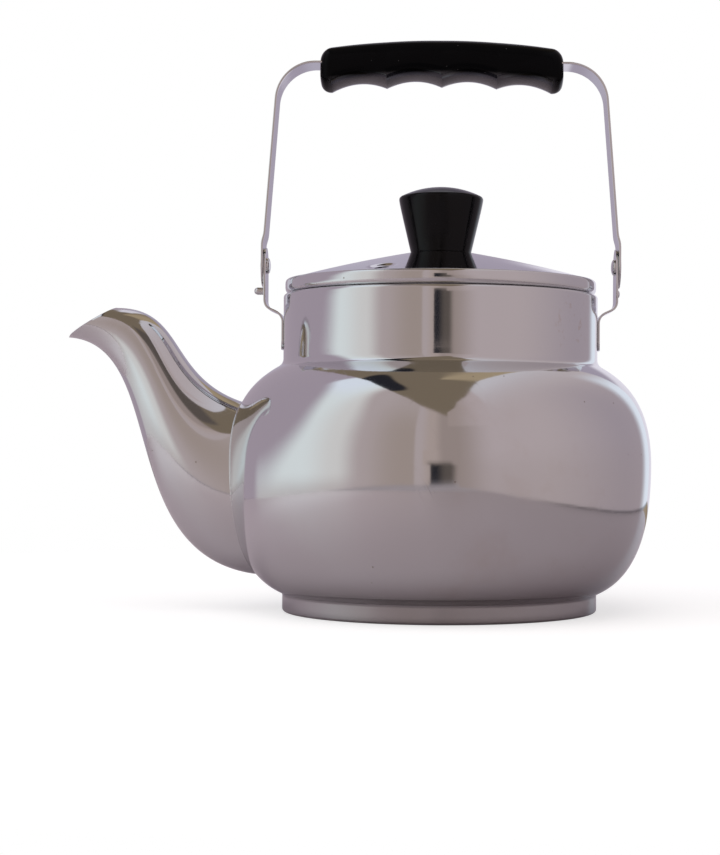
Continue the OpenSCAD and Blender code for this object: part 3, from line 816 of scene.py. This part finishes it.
def collar_path(body):
    """Outside of the neck's collar, from its seam to the end of its lip."""
    seam = wall_path(body)[-1]
    seat_out, seat_in = body.neck_r - body.neck_corner, seat_in_r(body)
    corner_z = MOUTH_Z - body.neck_corner
    return np.vstack((
        seam, line(seam, (body.neck_r, corner_z), steps=8),
        arc((seat_out, corner_z), body.neck_corner, 0, 90, steps=10), (seat_in, MOUTH_Z),
        arc((seat_in, MOUTH_Z - body.lip_round), body.lip_round, 90, 180, steps=6),
        (seat_in - body.lip_round, MOUTH_Z - body.lip_h),
    ))


def upright_slot(width, height, middle, start, end):
    """Bar along X whose section has half-round ends."""
    reach = (height - width) / 2
    outline = np.vstack((
        arc((0, middle + reach), width / 2, 0, 180, steps=16),
        arc((0, middle - reach), width / 2, 180, 360, steps=16),
    ))
    rings = [np.column_stack((np.full(len(outline), x), outline)) for x in (start, end)]
    return loft(rings, capped=True)


class BuildBody(bpy.types.Operator):
    """Makes the body with its base pan, the port to the spout and the neck's collar"""

    bl_idname = "teapot.build_body"
    bl_label = "Body"

    def execute(self, context):
        body = context.scene.teapot.body
        turns = even_turns(BODY_TURNS)
        pieces = (
            ("pressed_base_pan", base_path(body), False, "base_pan"),
            ("bulged_body", wall_path(body), True, "body_shell"),
            ("pressed_collar", collar_path(body), True, "neck_collar"),
        )
        for name, path, closed, node in pieces:
            points, faces = revolve(sheet(path, body.wall), turns, closed=closed)
            piece = make_object(name, points, faces)
            if node == "body_shell":
                outside, inside = -1.1 * body.belly_r, -0.5 * body.neck_r
                port = upright_slot(body.port_w, body.port_h, body.port_z, outside, inside)
                cut_away(piece, *port)
            dress(piece, "polished_steel", "pot", [node])
        paint_node("strainer", "plain_steel")
        return {"FINISHED"}


# Spout

def spout_lines(body, spout):
    """Control points of the underside and of the top, in X and Z."""
    belly = belly_path(body)
    tip = np.array((-body.belly_r - spout.out, spout.tip_z))
    crown = tip + spout.pour_len * heading(spout.pour_slope)
    top, low = (
        np.array((spout.root_sink - np.interp(z, belly[:, 1], belly[:, 0]), z))
        for z in (spout.root_top_z, spout.root_low_z)
    )
    under_line = (
        low, low + (-spout.under_pull, spout.under_rise),
        tip + (spout.lip_pull, -spout.under_lift), tip,
    )
    top_line = (top, top + (-spout.top_pull, spout.top_rise), crown + (spout.crown_pull, 0), crown)
    return under_line, top_line


def spout_points(body, spout, shares, turns, inset):
    """Points of the spout at shares of its length and turns round it."""
    under_line, top_line = spout_lines(body, spout)
    low, high = bezier(under_line, shares), bezier(top_line, shares ** 2)
    middle, half = (low + high) / 2, (high - low) / 2
    reach = half * (1 - inset / np.linalg.norm(half, axis=1))[:, None]
    wide = spout.root_w / 2 + (spout.pour_w - spout.root_w) / 2 * shares - inset
    flat = middle + reach * np.cos(turns)[:, None]
    return np.stack((flat[:, 0], wide * np.sin(turns), flat[:, 1]), axis=1)


def spout_start(body, spout, turns, inset, gap, farthest=0.7, halvings=40):
    """Share at which each line along the spout leaves the belly."""
    belly = belly_path(body)
    low, high = np.zeros(len(turns)), np.full(len(turns), farthest)
    for _ in range(halvings):
        middle = (low + high) / 2
        points = spout_points(body, spout, middle, turns, inset)
        outside = np.hypot(points[:, 0], points[:, 1]) > np.interp(
            points[:, 2], belly[:, 1], belly[:, 0]
        ) + gap
        low, high = np.where(outside, low, middle), np.where(outside, middle, high)
    return high


class BuildSpout(bpy.types.Operator):
    """Makes the hollow swan-neck spout, cut to the belly, and the weld bead round its root"""

    bl_idname = "teapot.build_spout"
    bl_label = "Spout"

    def execute(self, context):
        body, spout = context.scene.teapot.body, context.scene.teapot.spout
        turns = even_turns(SPOUT_TURNS)
        gap = context.scene.teapot.lug.gap
        skins = []
        for inset in (0, spout.wall):
            start = spout_start(body, spout, turns, inset, gap)
            skins.append([
                spout_points(body, spout, start + (1 - start) * s, turns, inset)
                for s in np.linspace(0, 1, 120)
            ])
        out, up = heading(spout.pour_slope + math.pi / 2)
        rounding = 0.4 * spout.wall
        lip = (skins[0][-1] + skins[1][-1]) / 2 + rounding * np.array((out, 0, up))
        rings = skins[0] + [lip] + skins[1][::-1]
        piece = make_object("swan_neck_spout", *loft(rings, looped=True))
        dress(piece, "polished_steel", "pot", ["spout"])
        bead = make_object("spout_weld_bead", *self.weld(skins[0][0], spout.weld_r))
        dress(bead, "polished_steel", "pot")
        return {"FINISHED"}

    @staticmethod
    def weld(seam, radius, steps=480, sides=12, ripple=0.06, ripple_steps=6, flat=0.8):
        """Low bead with fine ripples along a closed seam."""
        run = resampled_loop(seam, steps)
        tangent = unit(np.roll(run, -1, axis=0) - np.roll(run, 1, axis=0))
        across = unit(np.cross(tangent, unit(run * (1, 1, 0))))
        outward = np.cross(across, tangent)
        size = radius * (1 + ripple * np.sin(np.arange(steps) * math.tau / ripple_steps))[:, None]
        rings = np.stack([
            run + size * (math.cos(a) * across + flat * math.sin(a) * outward)
            for a in even_turns(sides)
        ], axis=1)
        return loft(rings, looped=True)


# Lugs, stop pegs and rivets

def lug_face(settings):
    return settings.body.neck_r + settings.lug.out


def lug_mesh(settings):
    """Bent strip with a weld plate on the neck, an arm and an upright with a round head."""
    body, lug = settings.body, settings.lug
    plate_x = body.neck_r + lug.gap + lug.t / 2
    plate_z = MOUTH_Z - lug.plate_drop
    foot = np.array((plate_x, plate_z))
    head = np.array((lug_face(settings) - lug.t / 2, plate_z + lug.arm_rise))
    arm = (head - foot) / np.linalg.norm(head - foot)
    rise = np.array((0, lug.bend))
    corner, radius = lug.w / 4, lug.w / 2
    middle = np.vstack((
        (plate_x, plate_z - lug.plate_h), foot - rise,
        curve((foot - rise, foot, foot + lug.bend * arm), steps=12),
        head - lug.bend * arm, curve((head - lug.bend * arm, head, head + rise), steps=12),
        (head[0], PIVOT_Z), (head[0], PIVOT_Z + radius),
    ))
    run = path_length(middle)
    quarter = np.radians(np.linspace(4, 90, 14))  # Turns along a rounded corner
    places = np.concatenate((
        corner * (1 - np.cos(quarter)), np.linspace(corner, run - radius, 90)[1:-1],
        run - radius * (1 - np.cos(quarter[::-1])),
    ))
    low = corner - np.clip(places, 0, corner)
    high = np.clip(places - (run - radius), 0, radius)
    half = np.where(
        places < corner, radius - corner + np.sqrt(corner ** 2 - low ** 2),
        np.sqrt(radius ** 2 - high ** 2),
    )
    points, faces = bent_plate(resampled(middle, places), half, lug.t / 2, lug.edge)
    wrap = np.clip((plate_z - points[:, 2]) / lug.bend, 0, 1)
    points[:, 0] -= wrap * (plate_x - np.sqrt(plate_x ** 2 - points[:, 1] ** 2))
    return points, faces


def peg_mesh(settings, reach):
    """Round peg with a domed end."""
    lug = settings.lug
    side = (lug.peg_r, reach / 2)
    outline = np.vstack((
        (0, 0), (lug.peg_r, 0), side, curve((side, (lug.peg_r, reach), (0, reach)), steps=12)
    ))
    points, faces = revolve(outline, even_turns(PEG_TURNS))
    place = (lug_face(settings), lug.peg_side, PIVOT_Z - lug.peg_drop)
    return turned_along_x(points, place), faces


def rivet_mesh(settings):
    """Domed head inside, shank, and a low peened end outside."""
    lug, bail = settings.lug, settings.bail
    long = lug.t + bail.strap_t + 2 * bail.lap_gap
    head, peen = (lug.head_r, 0), (lug.head_r, long)
    outline = np.vstack((
        (0, -lug.head_h),
        curve(((0, -lug.head_h), (lug.head_r, -lug.head_h), head), steps=12),
        (lug.rivet_r, 0), (lug.rivet_r, long), peen,
        curve((peen, (lug.head_r, long + lug.peen_h), (0, long + lug.peen_h)), steps=12),
    ))
    points, faces = revolve(outline, even_turns(RIVET_TURNS))
    return turned_along_x(points, (lug_face(settings) - lug.t, 0, PIVOT_Z)), faces


class BuildLugs(bpy.types.Operator):
    """Makes the two lugs on the neck with their stop pegs and rivets"""

    bl_idname = "teapot.build_lugs"
    bl_label = "Lugs and rivets"

    def execute(self, context):
        settings = context.scene.teapot
        lug = settings.lug
        for side, peg_len in (("spout_side", lug.spout_peg_len), ("rear", lug.rear_peg_len)):
            for kind, mesh in (
                ("lug", lug_mesh(settings)),
                ("stop_peg", peg_mesh(settings, peg_len)),
                ("rivet", rivet_mesh(settings)),
            ):
                points, faces = mesh
                if side == "spout_side":
                    points = half_turn(points)
                piece = make_object(f"{side}_{kind}_polished", points, faces)
                dress(piece, "polished_steel", "pot", [f"{side}_{kind}"])
        return {"FINISHED"}


# Bail

def strap_middle(bail):
    """Height of the strap's middle at its top."""
    return STRAP_Z - bail.strap_t / 2


def strap_path(settings):
    """Middle line of the strap, from the end of one leg to the end of the other."""
    lug, bail = settings.lug, settings.bail
    top = strap_middle(bail)
    leg_x = lug_face(settings) + bail.lap_gap + bail.strap_t / 2
    low = np.array((leg_x, PIVOT_Z + lug.w / 2 + bail.lap_gap))
    high = low + (-bail.joggle, bail.joggle_h)
    rise = bail.joggle_h / 2
    corner_x = high[0] - math.tan(bail.lean) * (top - high[1])
    centre = (corner_x - bail.bow_r * math.tan(math.pi / 4 - bail.lean / 2), top - bail.bow_r)
    half = np.vstack((
        (leg_x, PIVOT_Z - bail.leg_end_r), low,
        curve(
            (low, low + (0, rise), high - rise * heading(math.pi / 2 + bail.lean), high), steps=14
        ),
        np.asarray(centre) + bail.bow_r * heading(bail.lean),
        arc(centre, bail.bow_r, math.degrees(bail.lean), 90, steps=28),
    ))
    return np.vstack((half, half[::-1] * (-1, 1)))


def strap_mesh(settings):
    """Strap with round ends on its legs."""
    bail = settings.bail
    path = strap_path(settings)
    run, radius, half_w = path_length(path), bail.leg_end_r, bail.strap_w / 2
    quarter = np.radians(np.linspace(3, 90, 22))  # Turns along a rounded end
    end = radius * (1 - np.cos(quarter))
    places = np.concatenate((end, np.linspace(radius, run - radius, 420)[1:-1], run - end[::-1]))
    near = np.minimum(places, run - places)
    away = np.abs(radius - np.clip(near, 0, 2 * radius))
    half = np.sqrt(np.maximum(radius ** 2 - away ** 2, 0))
    half = np.where(near > radius, np.maximum(half, half_w), half)
    return bent_plate(resampled(path, places), half, bail.strap_t / 2, settings.lug.edge)


class BuildBail(bpy.types.Operator):
    """Makes the bent strap of the bail"""

    bl_idname = "teapot.build_bail"
    bl_label = "Bail strap"

    def execute(self, context):
        piece = make_object("bail_strap_polished", *strap_mesh(context.scene.teapot))
        dress(piece, "polished_steel", "bail", ["bail_strap"])
        return {"FINISHED"}


def powered(values, power):
    """Sines or cosines bent so that they draw a rounded square or a slanted diamond."""
    return np.sign(values) * np.abs(values) ** (2 / power)


def grip_section(bail, x, inset, top_power=3.4, low_power=1.5):
    """Section of the grip: full above its edge line and slanted below it."""
    middle = strap_middle(bail)
    bend = (x / (bail.grip_len / 2)) ** 2
    place = x / bail.groove_w
    share_in = place - math.floor(place) - 0.5
    groove = bail.groove_h * (1 - 4 * share_in ** 2) if abs(place) < 2 else 0
    top = middle + bail.grip_above - bail.arch * bend - inset
    low = middle - bail.grip_below - bail.hollow * bend + groove + inset
    edge = low + bail.edge * (top - low)
    turns = even_turns(GRIP_TURNS)
    above = np.sin(turns) > 0
    power = np.where(above, top_power, low_power)
    reach = np.where(above, top - edge, edge - low)
    y = (bail.grip_d / 2 - inset) * powered(np.cos(turns), power)
    z = edge + reach * powered(np.sin(turns), power)
    return np.column_stack((np.full(GRIP_TURNS, x), y, z))


class BuildGrip(bpy.types.Operator):
    """Makes the moulded grip with its finger grooves and the slot for the strap"""

    bl_idname = "teapot.build_grip"
    bl_label = "Grip"

    def execute(self, context):
        bail = context.scene.teapot.bail
        flat, soft = bail.grip_len / 2 - bail.end_round, bail.end_round
        end = [
            (-flat - soft * math.cos(a), soft * (1 - math.sin(a)))
            for a in np.radians(np.linspace(0, 90, 12))
        ]
        stations = end + [(x, 0) for x in np.linspace(-flat, flat, 197)[1:-1]]
        stations += [(-x, inset) for x, inset in end[::-1]]
        rings = [grip_section(bail, x, inset) for x, inset in stations]
        piece = make_object("grip_moulding", *loft(rings, capped=True))
        middle = strap_middle(bail)
        half_w, half_t = bail.strap_w / 2 + bail.slot_gap, bail.strap_t / 2 + bail.slot_gap
        corners = [(half_w, half_t), (-half_w, half_t), (-half_w, -half_t), (half_w, -half_t)]
        slot = [[(x, y, middle + z) for y, z in corners] for x in (-bail.grip_len, bail.grip_len)]
        cut_away(piece, *loft(slot, capped=True))
        dress(piece, "black_plastic", "bail", ["grip"], math.radians(32))
        return {"FINISHED"}


# Lid and knob

def dome_line(settings):
    """Control points of the lid's dome, from the knob seat to the rim."""
    body, lid = settings.body, settings.lid
    rim = np.array((body.neck_r - lid.rim_inset - lid.rim_round, MOUTH_Z + lid.rim_round))
    start = np.array((lid.seat_r, MOUTH_Z + lid.rise))
    end = rim + lid.rim_round * heading(math.pi / 2 - lid.rim_slope)
    third = (end[0] - start[0]) / 3
    first = start + third * np.array((1, -math.tan(lid.crown_slope)))
    second = end + third * np.array((-1, math.tan(lid.rim_slope)))
    return (start, first, second, end), rim


def rolled_rim(lid, rim, steps=44, blend=6, face_power=4, under_power=2.6):
    """Rim from the dome's end to its turned-in edge, flatter on its face than a plain arc."""
    angles = np.linspace(math.pi / 2 - lid.rim_slope, -math.pi / 2, steps)
    away = np.stack((np.cos(angles), np.sin(angles)), axis=1)
    power = np.where(angles > 0, face_power, under_power)
    reach = (np.abs(away) ** power[:, None]).sum(axis=1) ** (-1 / power)
    blended = 1 + (reach - 1) * np.minimum(np.arange(steps) / blend, 1)
    return rim + (lid.rim_round * blended)[:, None] * away


def press_vent(points, lid, dome):
    """Sinks the ring round the vent, square to the lid; returns the vent's place and direction."""
    ring, bearing = lid.vent_ring, heading(lid.vent_bearing)
    near, middle, far = np.interp(lid.vent_out + np.array((-ring, 0, ring)), *dome.T)
    tilt = math.atan2(near - far, 2 * ring)
    normal = np.array((*(math.sin(tilt) * bearing), math.cos(tilt)))
    centre = np.array((*(lid.vent_out * bearing), middle))
    off = points - centre
    depth = off @ normal
    spread = np.linalg.norm(off - depth[:, None] * normal, axis=1)
    sunk = np.clip((lid.vent_r + ring - spread) / ring, 0, 1)
    sunk = np.where(np.abs(depth) < 5 * lid.sheet, sunk * sunk * (3 - 2 * sunk), 0)
    points -= (lid.vent_sink * sunk)[:, None] * normal
    return centre, normal


def lid_turns(lid):
    """Turns round the lid, close together beside the vent."""
    fine = math.radians(12)
    near = np.linspace(-fine, fine, 61)
    rest = np.linspace(fine, math.tau - fine, 170)[1:-1]
    return lid.vent_bearing + np.concatenate((near, rest))


def tube_at(centre, normal, radius, reach):
    """Closed round bar along a direction."""
    side = np.cross(normal, (0.0, 0.0, 1.0))
    side /= np.linalg.norm(side)
    other = np.cross(normal, side)
    circle = np.array([
        radius * (math.cos(a) * side + math.sin(a) * other) for a in even_turns(VENT_TURNS)
    ])
    rings = [circle + centre + s * reach * normal for s in (-1, 1)]
    return loft(rings, capped=True)


class BuildLid(bpy.types.Operator):
    """Makes the domed lid with its rolled rim and pressed vent, and the skirt below it"""

    bl_idname = "teapot.build_lid"
    bl_label = "Lid"

    def execute(self, context):
        settings = context.scene.teapot
        body, lid = settings.body, settings.lid
        control, rim = dome_line(settings)
        dome = np.vstack((control[:1], curve(control, steps=110)))
        path = np.vstack((
            (lid.hole_r, MOUTH_Z + lid.rise), dome, rolled_rim(lid, rim),
            (seat_in_r(body) + lid.weld_gap, MOUTH_Z),
        ))
        points, faces = revolve(sheet(path, -lid.sheet), lid_turns(lid), closed=True)
        centre, normal = press_vent(points, lid, dome)
        piece = make_object("lid_dome", points, faces)
        cut_away(piece, *tube_at(centre, normal, lid.vent_r, 6 * lid.sheet))
        dress(piece, "polished_steel", "lid", ["lid_shell"])
        skirt = make_object("lid_skirt_ring", *self.skirt(settings, rim))
        dress(skirt, "plain_steel", "lid", ["lid_skirt"])
        return {"FINISHED"}

    @staticmethod
    def skirt(settings, rim):
        """Ring that centres the lid, with a flange on the turned-in edge of the lid's rim."""
        body, lid = settings.body, settings.lid
        skirt_r = seat_in_r(body) - body.lip_round - lid.skirt_gap
        flange_z = MOUTH_Z + lid.sheet + lid.weld_gap
        start, end = (skirt_r, flange_z - lid.skirt_t), (skirt_r + lid.skirt_t, flange_z)
        path = np.vstack((
            (skirt_r, MOUTH_Z - lid.skirt_h), start,
            curve((start, (skirt_r, flange_z), end), steps=8), (rim[0] - lid.sheet, flange_z),
        ))
        return revolve(sheet(path, lid.skirt_t), even_turns(SKIRT_TURNS), closed=True)


class BuildKnob(bpy.types.Operator):
    """Makes the black knob and paints its fasteners"""

    bl_idname = "teapot.build_knob"
    bl_label = "Knob"

    def execute(self, context):
        lid = context.scene.teapot.lid
        low, top, soft = lid.knob_low_r, lid.knob_top_r, lid.knob_round
        edge, edge_turn = np.array((top - soft, lid.knob_edge_h)), 70
        shoulder = edge + soft * heading(math.radians(edge_turn))
        side = (
            (low, soft / 2), ((low + top) / 2, lid.knob_edge_h / 2), (top, lid.knob_edge_h - soft),
            (top, lid.knob_edge_h),
        )
        outline = np.vstack((
            (0, lid.insert_h), (lid.insert_r, lid.insert_h), (lid.insert_r, 0), (low - soft / 2, 0),
            arc((low - soft / 2, soft / 2), soft / 2, 270, 360, steps=6), curve(side, steps=48),
            arc(edge, soft, 0, edge_turn, steps=12),
            curve((shoulder, (top / 2, lid.knob_h), (0, lid.knob_h)), steps=40),
        ))
        points, faces = revolve(outline + (0, MOUTH_Z + lid.rise), even_turns(KNOB_TURNS))
        dress(make_object("knob_moulding", points, faces), "black_plastic", "lid", ["knob"])
        paint_node("knob_insert", "brass")
        paint_node("knob_washer", "plain_steel")
        paint_node("knob_screw", "plain_steel")
        return {"FINISHED"}


# Stage; the painters of its sheets get places in metres

def scaled(tint, factor):
    """Colour made lighter or darker."""
    return tuple(factor * part for part in tint)


def room_colour(nodes, stage):
    """Colour of the room round the tent, by bearing from the camera and height, in degrees."""
    x, y, z = nodes.split(nodes.add("ShaderNodeTexCoord", None, None, "Generated"))
    bearing = nodes.math("ARCTAN2", x, -y) * math.degrees(1)
    height = nodes.math("ARCSINE", z) * math.degrees(1)
    behind = abs(bearing)
    u, v = (bearing + 86) * (1 / 46), (height - 69.5) * (1 / 6.3)
    bar = 1 - (u * u + v * v).smooth(0.8, 1.2)
    low = 1 - (height + bearing * 0.66).smooth(38, 43)
    lit = bearing.smooth(-13, -11) * (1 - bearing.smooth(-4, 2))
    level = height.between(-7, 8, 1)
    gap = bearing.smooth(-9.5, -8) * (1 - bearing.smooth(5.5, 10)) * level
    figure = bearing.smooth(-8.2, -6.8) * (1 - bearing.smooth(-2.5, 3.5)) * level
    return nodes.layered(
        stage.ceiling,
        (bearing.between(85, 160, 20), stage.ceiling_back),
        (behind.smooth(165, 172) * height.between(36, 68, 4), stage.back_low),
        (bar, stage.dark),
        (bearing.between(10, 60, 2) * (1 - height.smooth(44, 50)), stage.gloom),
        ((1 - behind.smooth(26, 34)) * low, stage.slit),
        (lit * low, stage.slit_light),
        (gap, stage.gloom),
        (figure, stage.dark),
        (1 - height.smooth(-7, -4), stage.floor_grey),
    )


def left_cloth(nodes, stage, x, y, z):
    """Left side of the tent: a lit panel, with a round shade behind it and plain cloth in front."""
    front = nodes.mix(z.smooth(0.25, 0.8) * 0.6, stage.left_front, stage.left_wall)
    edge = nodes.mix(x.smooth(-0.12, -0.05), stage.left_wall, stage.slit_light)
    panel = nodes.layered(
        stage.bright,
        (y.smooth(-0.34, -0.15), stage.bright_back),
        (z.smooth(0.45, 0.8) * y.smooth(-0.3, 0), stage.cool),
        ((1 - z.smooth(0, 0.05)) * 0.6, stage.left_wall),
    )
    u = nodes.math("MAXIMUM", 0.14 - y + z * 0.15, 0) * (1 / 0.315)
    v = (z - 0.33) * (3.4 - z.smooth(0.1, 0.5) * 1.2) * (1 - y.smooth(0.1, 0.3))
    return nodes.layered(
        front,
        (y.smooth(-0.64, -0.45), stage.left_wall),
        (x.smooth(-0.148, -0.136), edge),
        ((y - z.smooth(0.35, 0.95) * 0.09).smooth(-0.47, -0.335), panel),
        (1 - (u * u + v * v).smooth(0.6, 1.4), stage.lilac),
    )


def right_cloth(nodes, stage, x, y, z):
    """Right side of the tent: plain cloth, shaded at its side and lit from behind at its end."""
    return nodes.layered(
        stage.slit,
        (y.smooth(-0.62, -0.43), stage.right_wall),
        (y.smooth(-0.25, 0.1) * (1 - z.smooth(0.15, 0.6)), stage.right_shade),
        ((1 - z.smooth(0.02, 0.15)) * 0.25, stage.slit),
        (z.smooth(0.3, 1.2) * 0.35, stage.cool),
        (y.smooth(0.24, 0.42) * (1 - z.smooth(0.3, 0.6)), stage.cool),
        ((1 - z.smooth(0.003, 0.006)) * y.smooth(-0.35, -0.1) * 0.6, stage.dark),
    )


def back_cloth(nodes, stage, x, y, z):
    """Back of the tent: lilac cloth that the table lights from below."""
    return nodes.layered(
        stage.lilac,
        (x.smooth(-0.3, -0.12), stage.back),
        (x.smooth(-0.09, 0.02), stage.back_middle),
        ((1 - z.smooth(0.31, 0.42)) * x.smooth(0.06, 0.12), stage.back_low),
    )


def front_cloth(nodes, stage, x, y, z):
    """Fold of cloth across the lower part of the slit."""
    hem = (1 - z.smooth(0.071, 0.090)) * x.between(-0.045, 0.045, 0.012)
    return nodes.layered(
        stage.slit_light, (x.smooth(-0.02, 0.017), stage.slit), (hem * 0.8, stage.gloom)
    )


def side_fold(nodes, stage, x, y, z):
    """Fold of cloth that hangs beside the slit."""
    return nodes.mix(x.smooth(0.02, 0.085), scaled(stage.slit, 1.1), stage.right_wall)


def side_edge(back, corners, end=1, hem=()):
    """Top edge of one side of the tent: straight, then bent round to the front, then a hem."""
    straight = np.vstack((back, line(back, corners[0], steps=8)[:-1]))
    bent = bezier(corners, np.linspace(0, end, 60))
    return np.vstack((straight, bent, np.reshape(hem, (-1, 3))))


class BuildStage(bpy.types.Operator):
    """Makes the table, the tent, the lamp and the camera"""

    bl_idname = "teapot.build_stage"
    bl_label = "Stage"

    def execute(self, context):
        stage = context.scene.teapot.stage
        self.table(stage)
        self.room(context.scene, stage)
        self.tent(stage)
        self.lamp(context.scene)
        self.camera(context.scene, stage)
        context.scene.view_settings.view_transform = "Standard"
        return {"FINISHED"}

    @staticmethod
    def table(stage):
        """Pale table that keeps the pot's shadow and fades into the white behind it."""
        circle = [(*(stage.floor_r * heading(a)), -TABLE_DROP) for a in even_turns(TABLE_TURNS)]
        floor = make_object("table", circle, [range(TABLE_TURNS)])
        material, nodes = new_material("table_cloth")
        place = nodes.place()
        x, y = nodes.split(place, "XY")
        seen = nodes.add("ShaderNodeLightPath", None, None, "Is Camera Ray")
        away = nodes.add("ShaderNodeVectorMath", {"operation": "LENGTH"}, {0: place}, "Value")
        fade = away.smooth(0.55 * stage.floor_r, 0.95 * stage.floor_r)
        cloth = nodes.add("ShaderNodeBsdfDiffuse", None, {"Color": stage.floor_white})
        glow = nodes.add("ShaderNodeEmission", None, {"Color": (1, 1, 1), "Strength": 1.3})
        clear = nodes.add("ShaderNodeBsdfTransparent")
        # In the steel the table has painted light: lighter to the left, darker to the right, and a
        # painted pool of light by the lit panel
        tint = nodes.layered(
            scaled(stage.floor_grey, 1.34),
            (x.smooth(-0.28, 0.22), scaled(stage.floor_grey, 0.86)),
            ((1 - x.smooth(-0.42, -0.2)) * y.between(-0.44, 0.02, 0.09), stage.floor_lit),
        )
        mirrored = nodes.add("ShaderNodeBsdfPrincipled", None, {
            "Base Color": tint, "Roughness": 0.35, "Specular IOR Level": 0.35,
        })
        shown = nodes.add("ShaderNodeMixShader", None, {0: 0.5, 1: cloth, 2: glow})
        shown = nodes.add("ShaderNodeMixShader", None, {0: fade, 1: shown, 2: clear})
        both = nodes.add("ShaderNodeMixShader", None, {0: seen, 1: mirrored, 2: shown})
        nodes.add("ShaderNodeOutputMaterial", None, {"Surface": both})
        floor.data.materials.append(material)

    @staticmethod
    def room(scene, stage):
        """World that is white to the camera and a dim room to everything else."""
        world = bpy.data.worlds.new("room")
        world.use_nodes = True
        scene.world = world
        nodes = Nodes(world.node_tree)
        seen = nodes.add("ShaderNodeLightPath", None, None, "Is Camera Ray")
        cloth = nodes.add("ShaderNodeBackground", None, {"Color": room_colour(nodes, stage)})
        white = nodes.add("ShaderNodeBackground", None, {"Color": (1, 1, 1)})
        both = nodes.add("ShaderNodeMixShader", None, {0: seen, 1: cloth, 2: white})
        nodes.add("ShaderNodeOutputWorld", None, {"Surface": both})

    @staticmethod
    def tent(stage):
        """Sheets of lit cloth round the pot; the camera looks in between the two bent ones."""
        left = side_edge((-430, 700, 700), (
            (-472, 0, 1200), (-472, -400, 1240), (-330, -660, 1200), (-52, -660, 560)
        ))
        right = side_edge((380, 650, 700), (
            (300, -60, 1400), (275, -250, 1420), (260, -440, 1300), (99, -600, 420)
        ), 0.76, ((191, -479, 360), (179, -499, 360), (143, -551, 360), (99, -600, 360)))
        fold = (
            (15, -238, 217), (30, -236, 246), (39, -234, 294), (67, -226, 368), (95, -211, 487)
        )
        sheets = (  # Name, painter, height of the foot and points of the top edge, in millimetres
            ("left_cloth", left_cloth, 0, left),
            ("right_cloth", right_cloth, 0, right),
            ("back_cloth", back_cloth, 0, ((-470, 720, 800), (430, 720, 800))),
            ("front_cloth", front_cloth, 71, ((-62, -450, 130), (66, -450, 130))),
            ("side_fold", side_fold, 158, fold),
        )
        for name, painter, foot, edge in sheets:
            top, count = np.asarray(edge) * MM, len(edge)
            points = np.vstack((top * (1, 1, 0) + (0, 0, foot * MM), top))
            faces = [(i, i + 1, count + i + 1, count + i) for i in range(count - 1)]
            cloth = make_object(name, points, faces)
            cloth.data.shade_smooth()
            cloth.visible_camera = False
            cloth.visible_shadow = False
            material, nodes = new_material(name)
            tint = painter(nodes, stage, *nodes.split(nodes.place()))
            lit = nodes.add("ShaderNodeEmission", None, {"Color": tint})
            nodes.add("ShaderNodeOutputMaterial", None, {"Surface": lit})
            cloth.data.materials.append(material)

    @staticmethod
    def lamp(scene):
        """Wide soft light from above, to the left and in front."""
        light = bpy.data.lights.new("overhead", "SUN")
        light.energy = 2.1
        light.angle = math.radians(70)
        lamp = bpy.data.objects.new("overhead", light)
        lamp.rotation_euler = (math.radians(24), math.radians(-18), 0)
        lamp.visible_glossy = False
        scene.collection.objects.link(lamp)

    @staticmethod
    def camera(scene, stage):
        """Camera at table level, with the frame shifted to where the pot stands in it."""
        data = bpy.data.cameras.new("camera")
        data.sensor_width = 36
        data.lens = stage.focal_px * data.sensor_width / IMAGE_H
        data.shift_x = (IMAGE_W / 2 - stage.axis_px) / IMAGE_H
        data.shift_y = (stage.level_px - IMAGE_H / 2) / IMAGE_H
        data.clip_start, data.clip_end = 0.01, 20
        camera = bpy.data.objects.new("camera", data)
        camera.location = (0, -stage.camera_y, stage.camera_z)
        camera.rotation_euler = (math.pi / 2, stage.camera_roll, 0)
        scene.collection.objects.link(camera)
        scene.camera = camera


BUILDERS = (BuildBody, BuildSpout, BuildLugs, BuildBail, BuildGrip, BuildLid, BuildKnob, BuildStage)


class TeapotPanel(bpy.types.Panel):
    """Lists the builders of the teapot's pieces."""

    bl_idname = "VIEW3D_PT_teapot"
    bl_label = "Teapot"
    bl_space_type = "VIEW_3D"
    bl_region_type = "UI"
    bl_category = "Teapot"

    def draw(self, context):
        for builder in BUILDERS:
            self.layout.operator(builder.bl_idname)


CLASSES = (
    BodySizes, SpoutSizes, LugSizes, BailSizes, LidSizes, Finishes, StageSettings, TeapotSettings,
    *BUILDERS, TeapotPanel,
)


def register():
    for cls in CLASSES:
        bpy.utils.register_class(cls)
    bpy.types.Scene.teapot = PointerProperty(type=TeapotSettings)


def unregister():
    del bpy.types.Scene.teapot
    for cls in reversed(CLASSES):
        bpy.utils.unregister_class(cls)


def main():
    register()
    bpy.ops.teapot.build_body()
    bpy.ops.teapot.build_spout()
    bpy.ops.teapot.build_lugs()
    bpy.ops.teapot.build_bail()
    bpy.ops.teapot.build_grip()
    bpy.ops.teapot.build_lid()
    bpy.ops.teapot.build_knob()
    bpy.ops.teapot.build_stage()


if __name__ == "__main__":
    main()
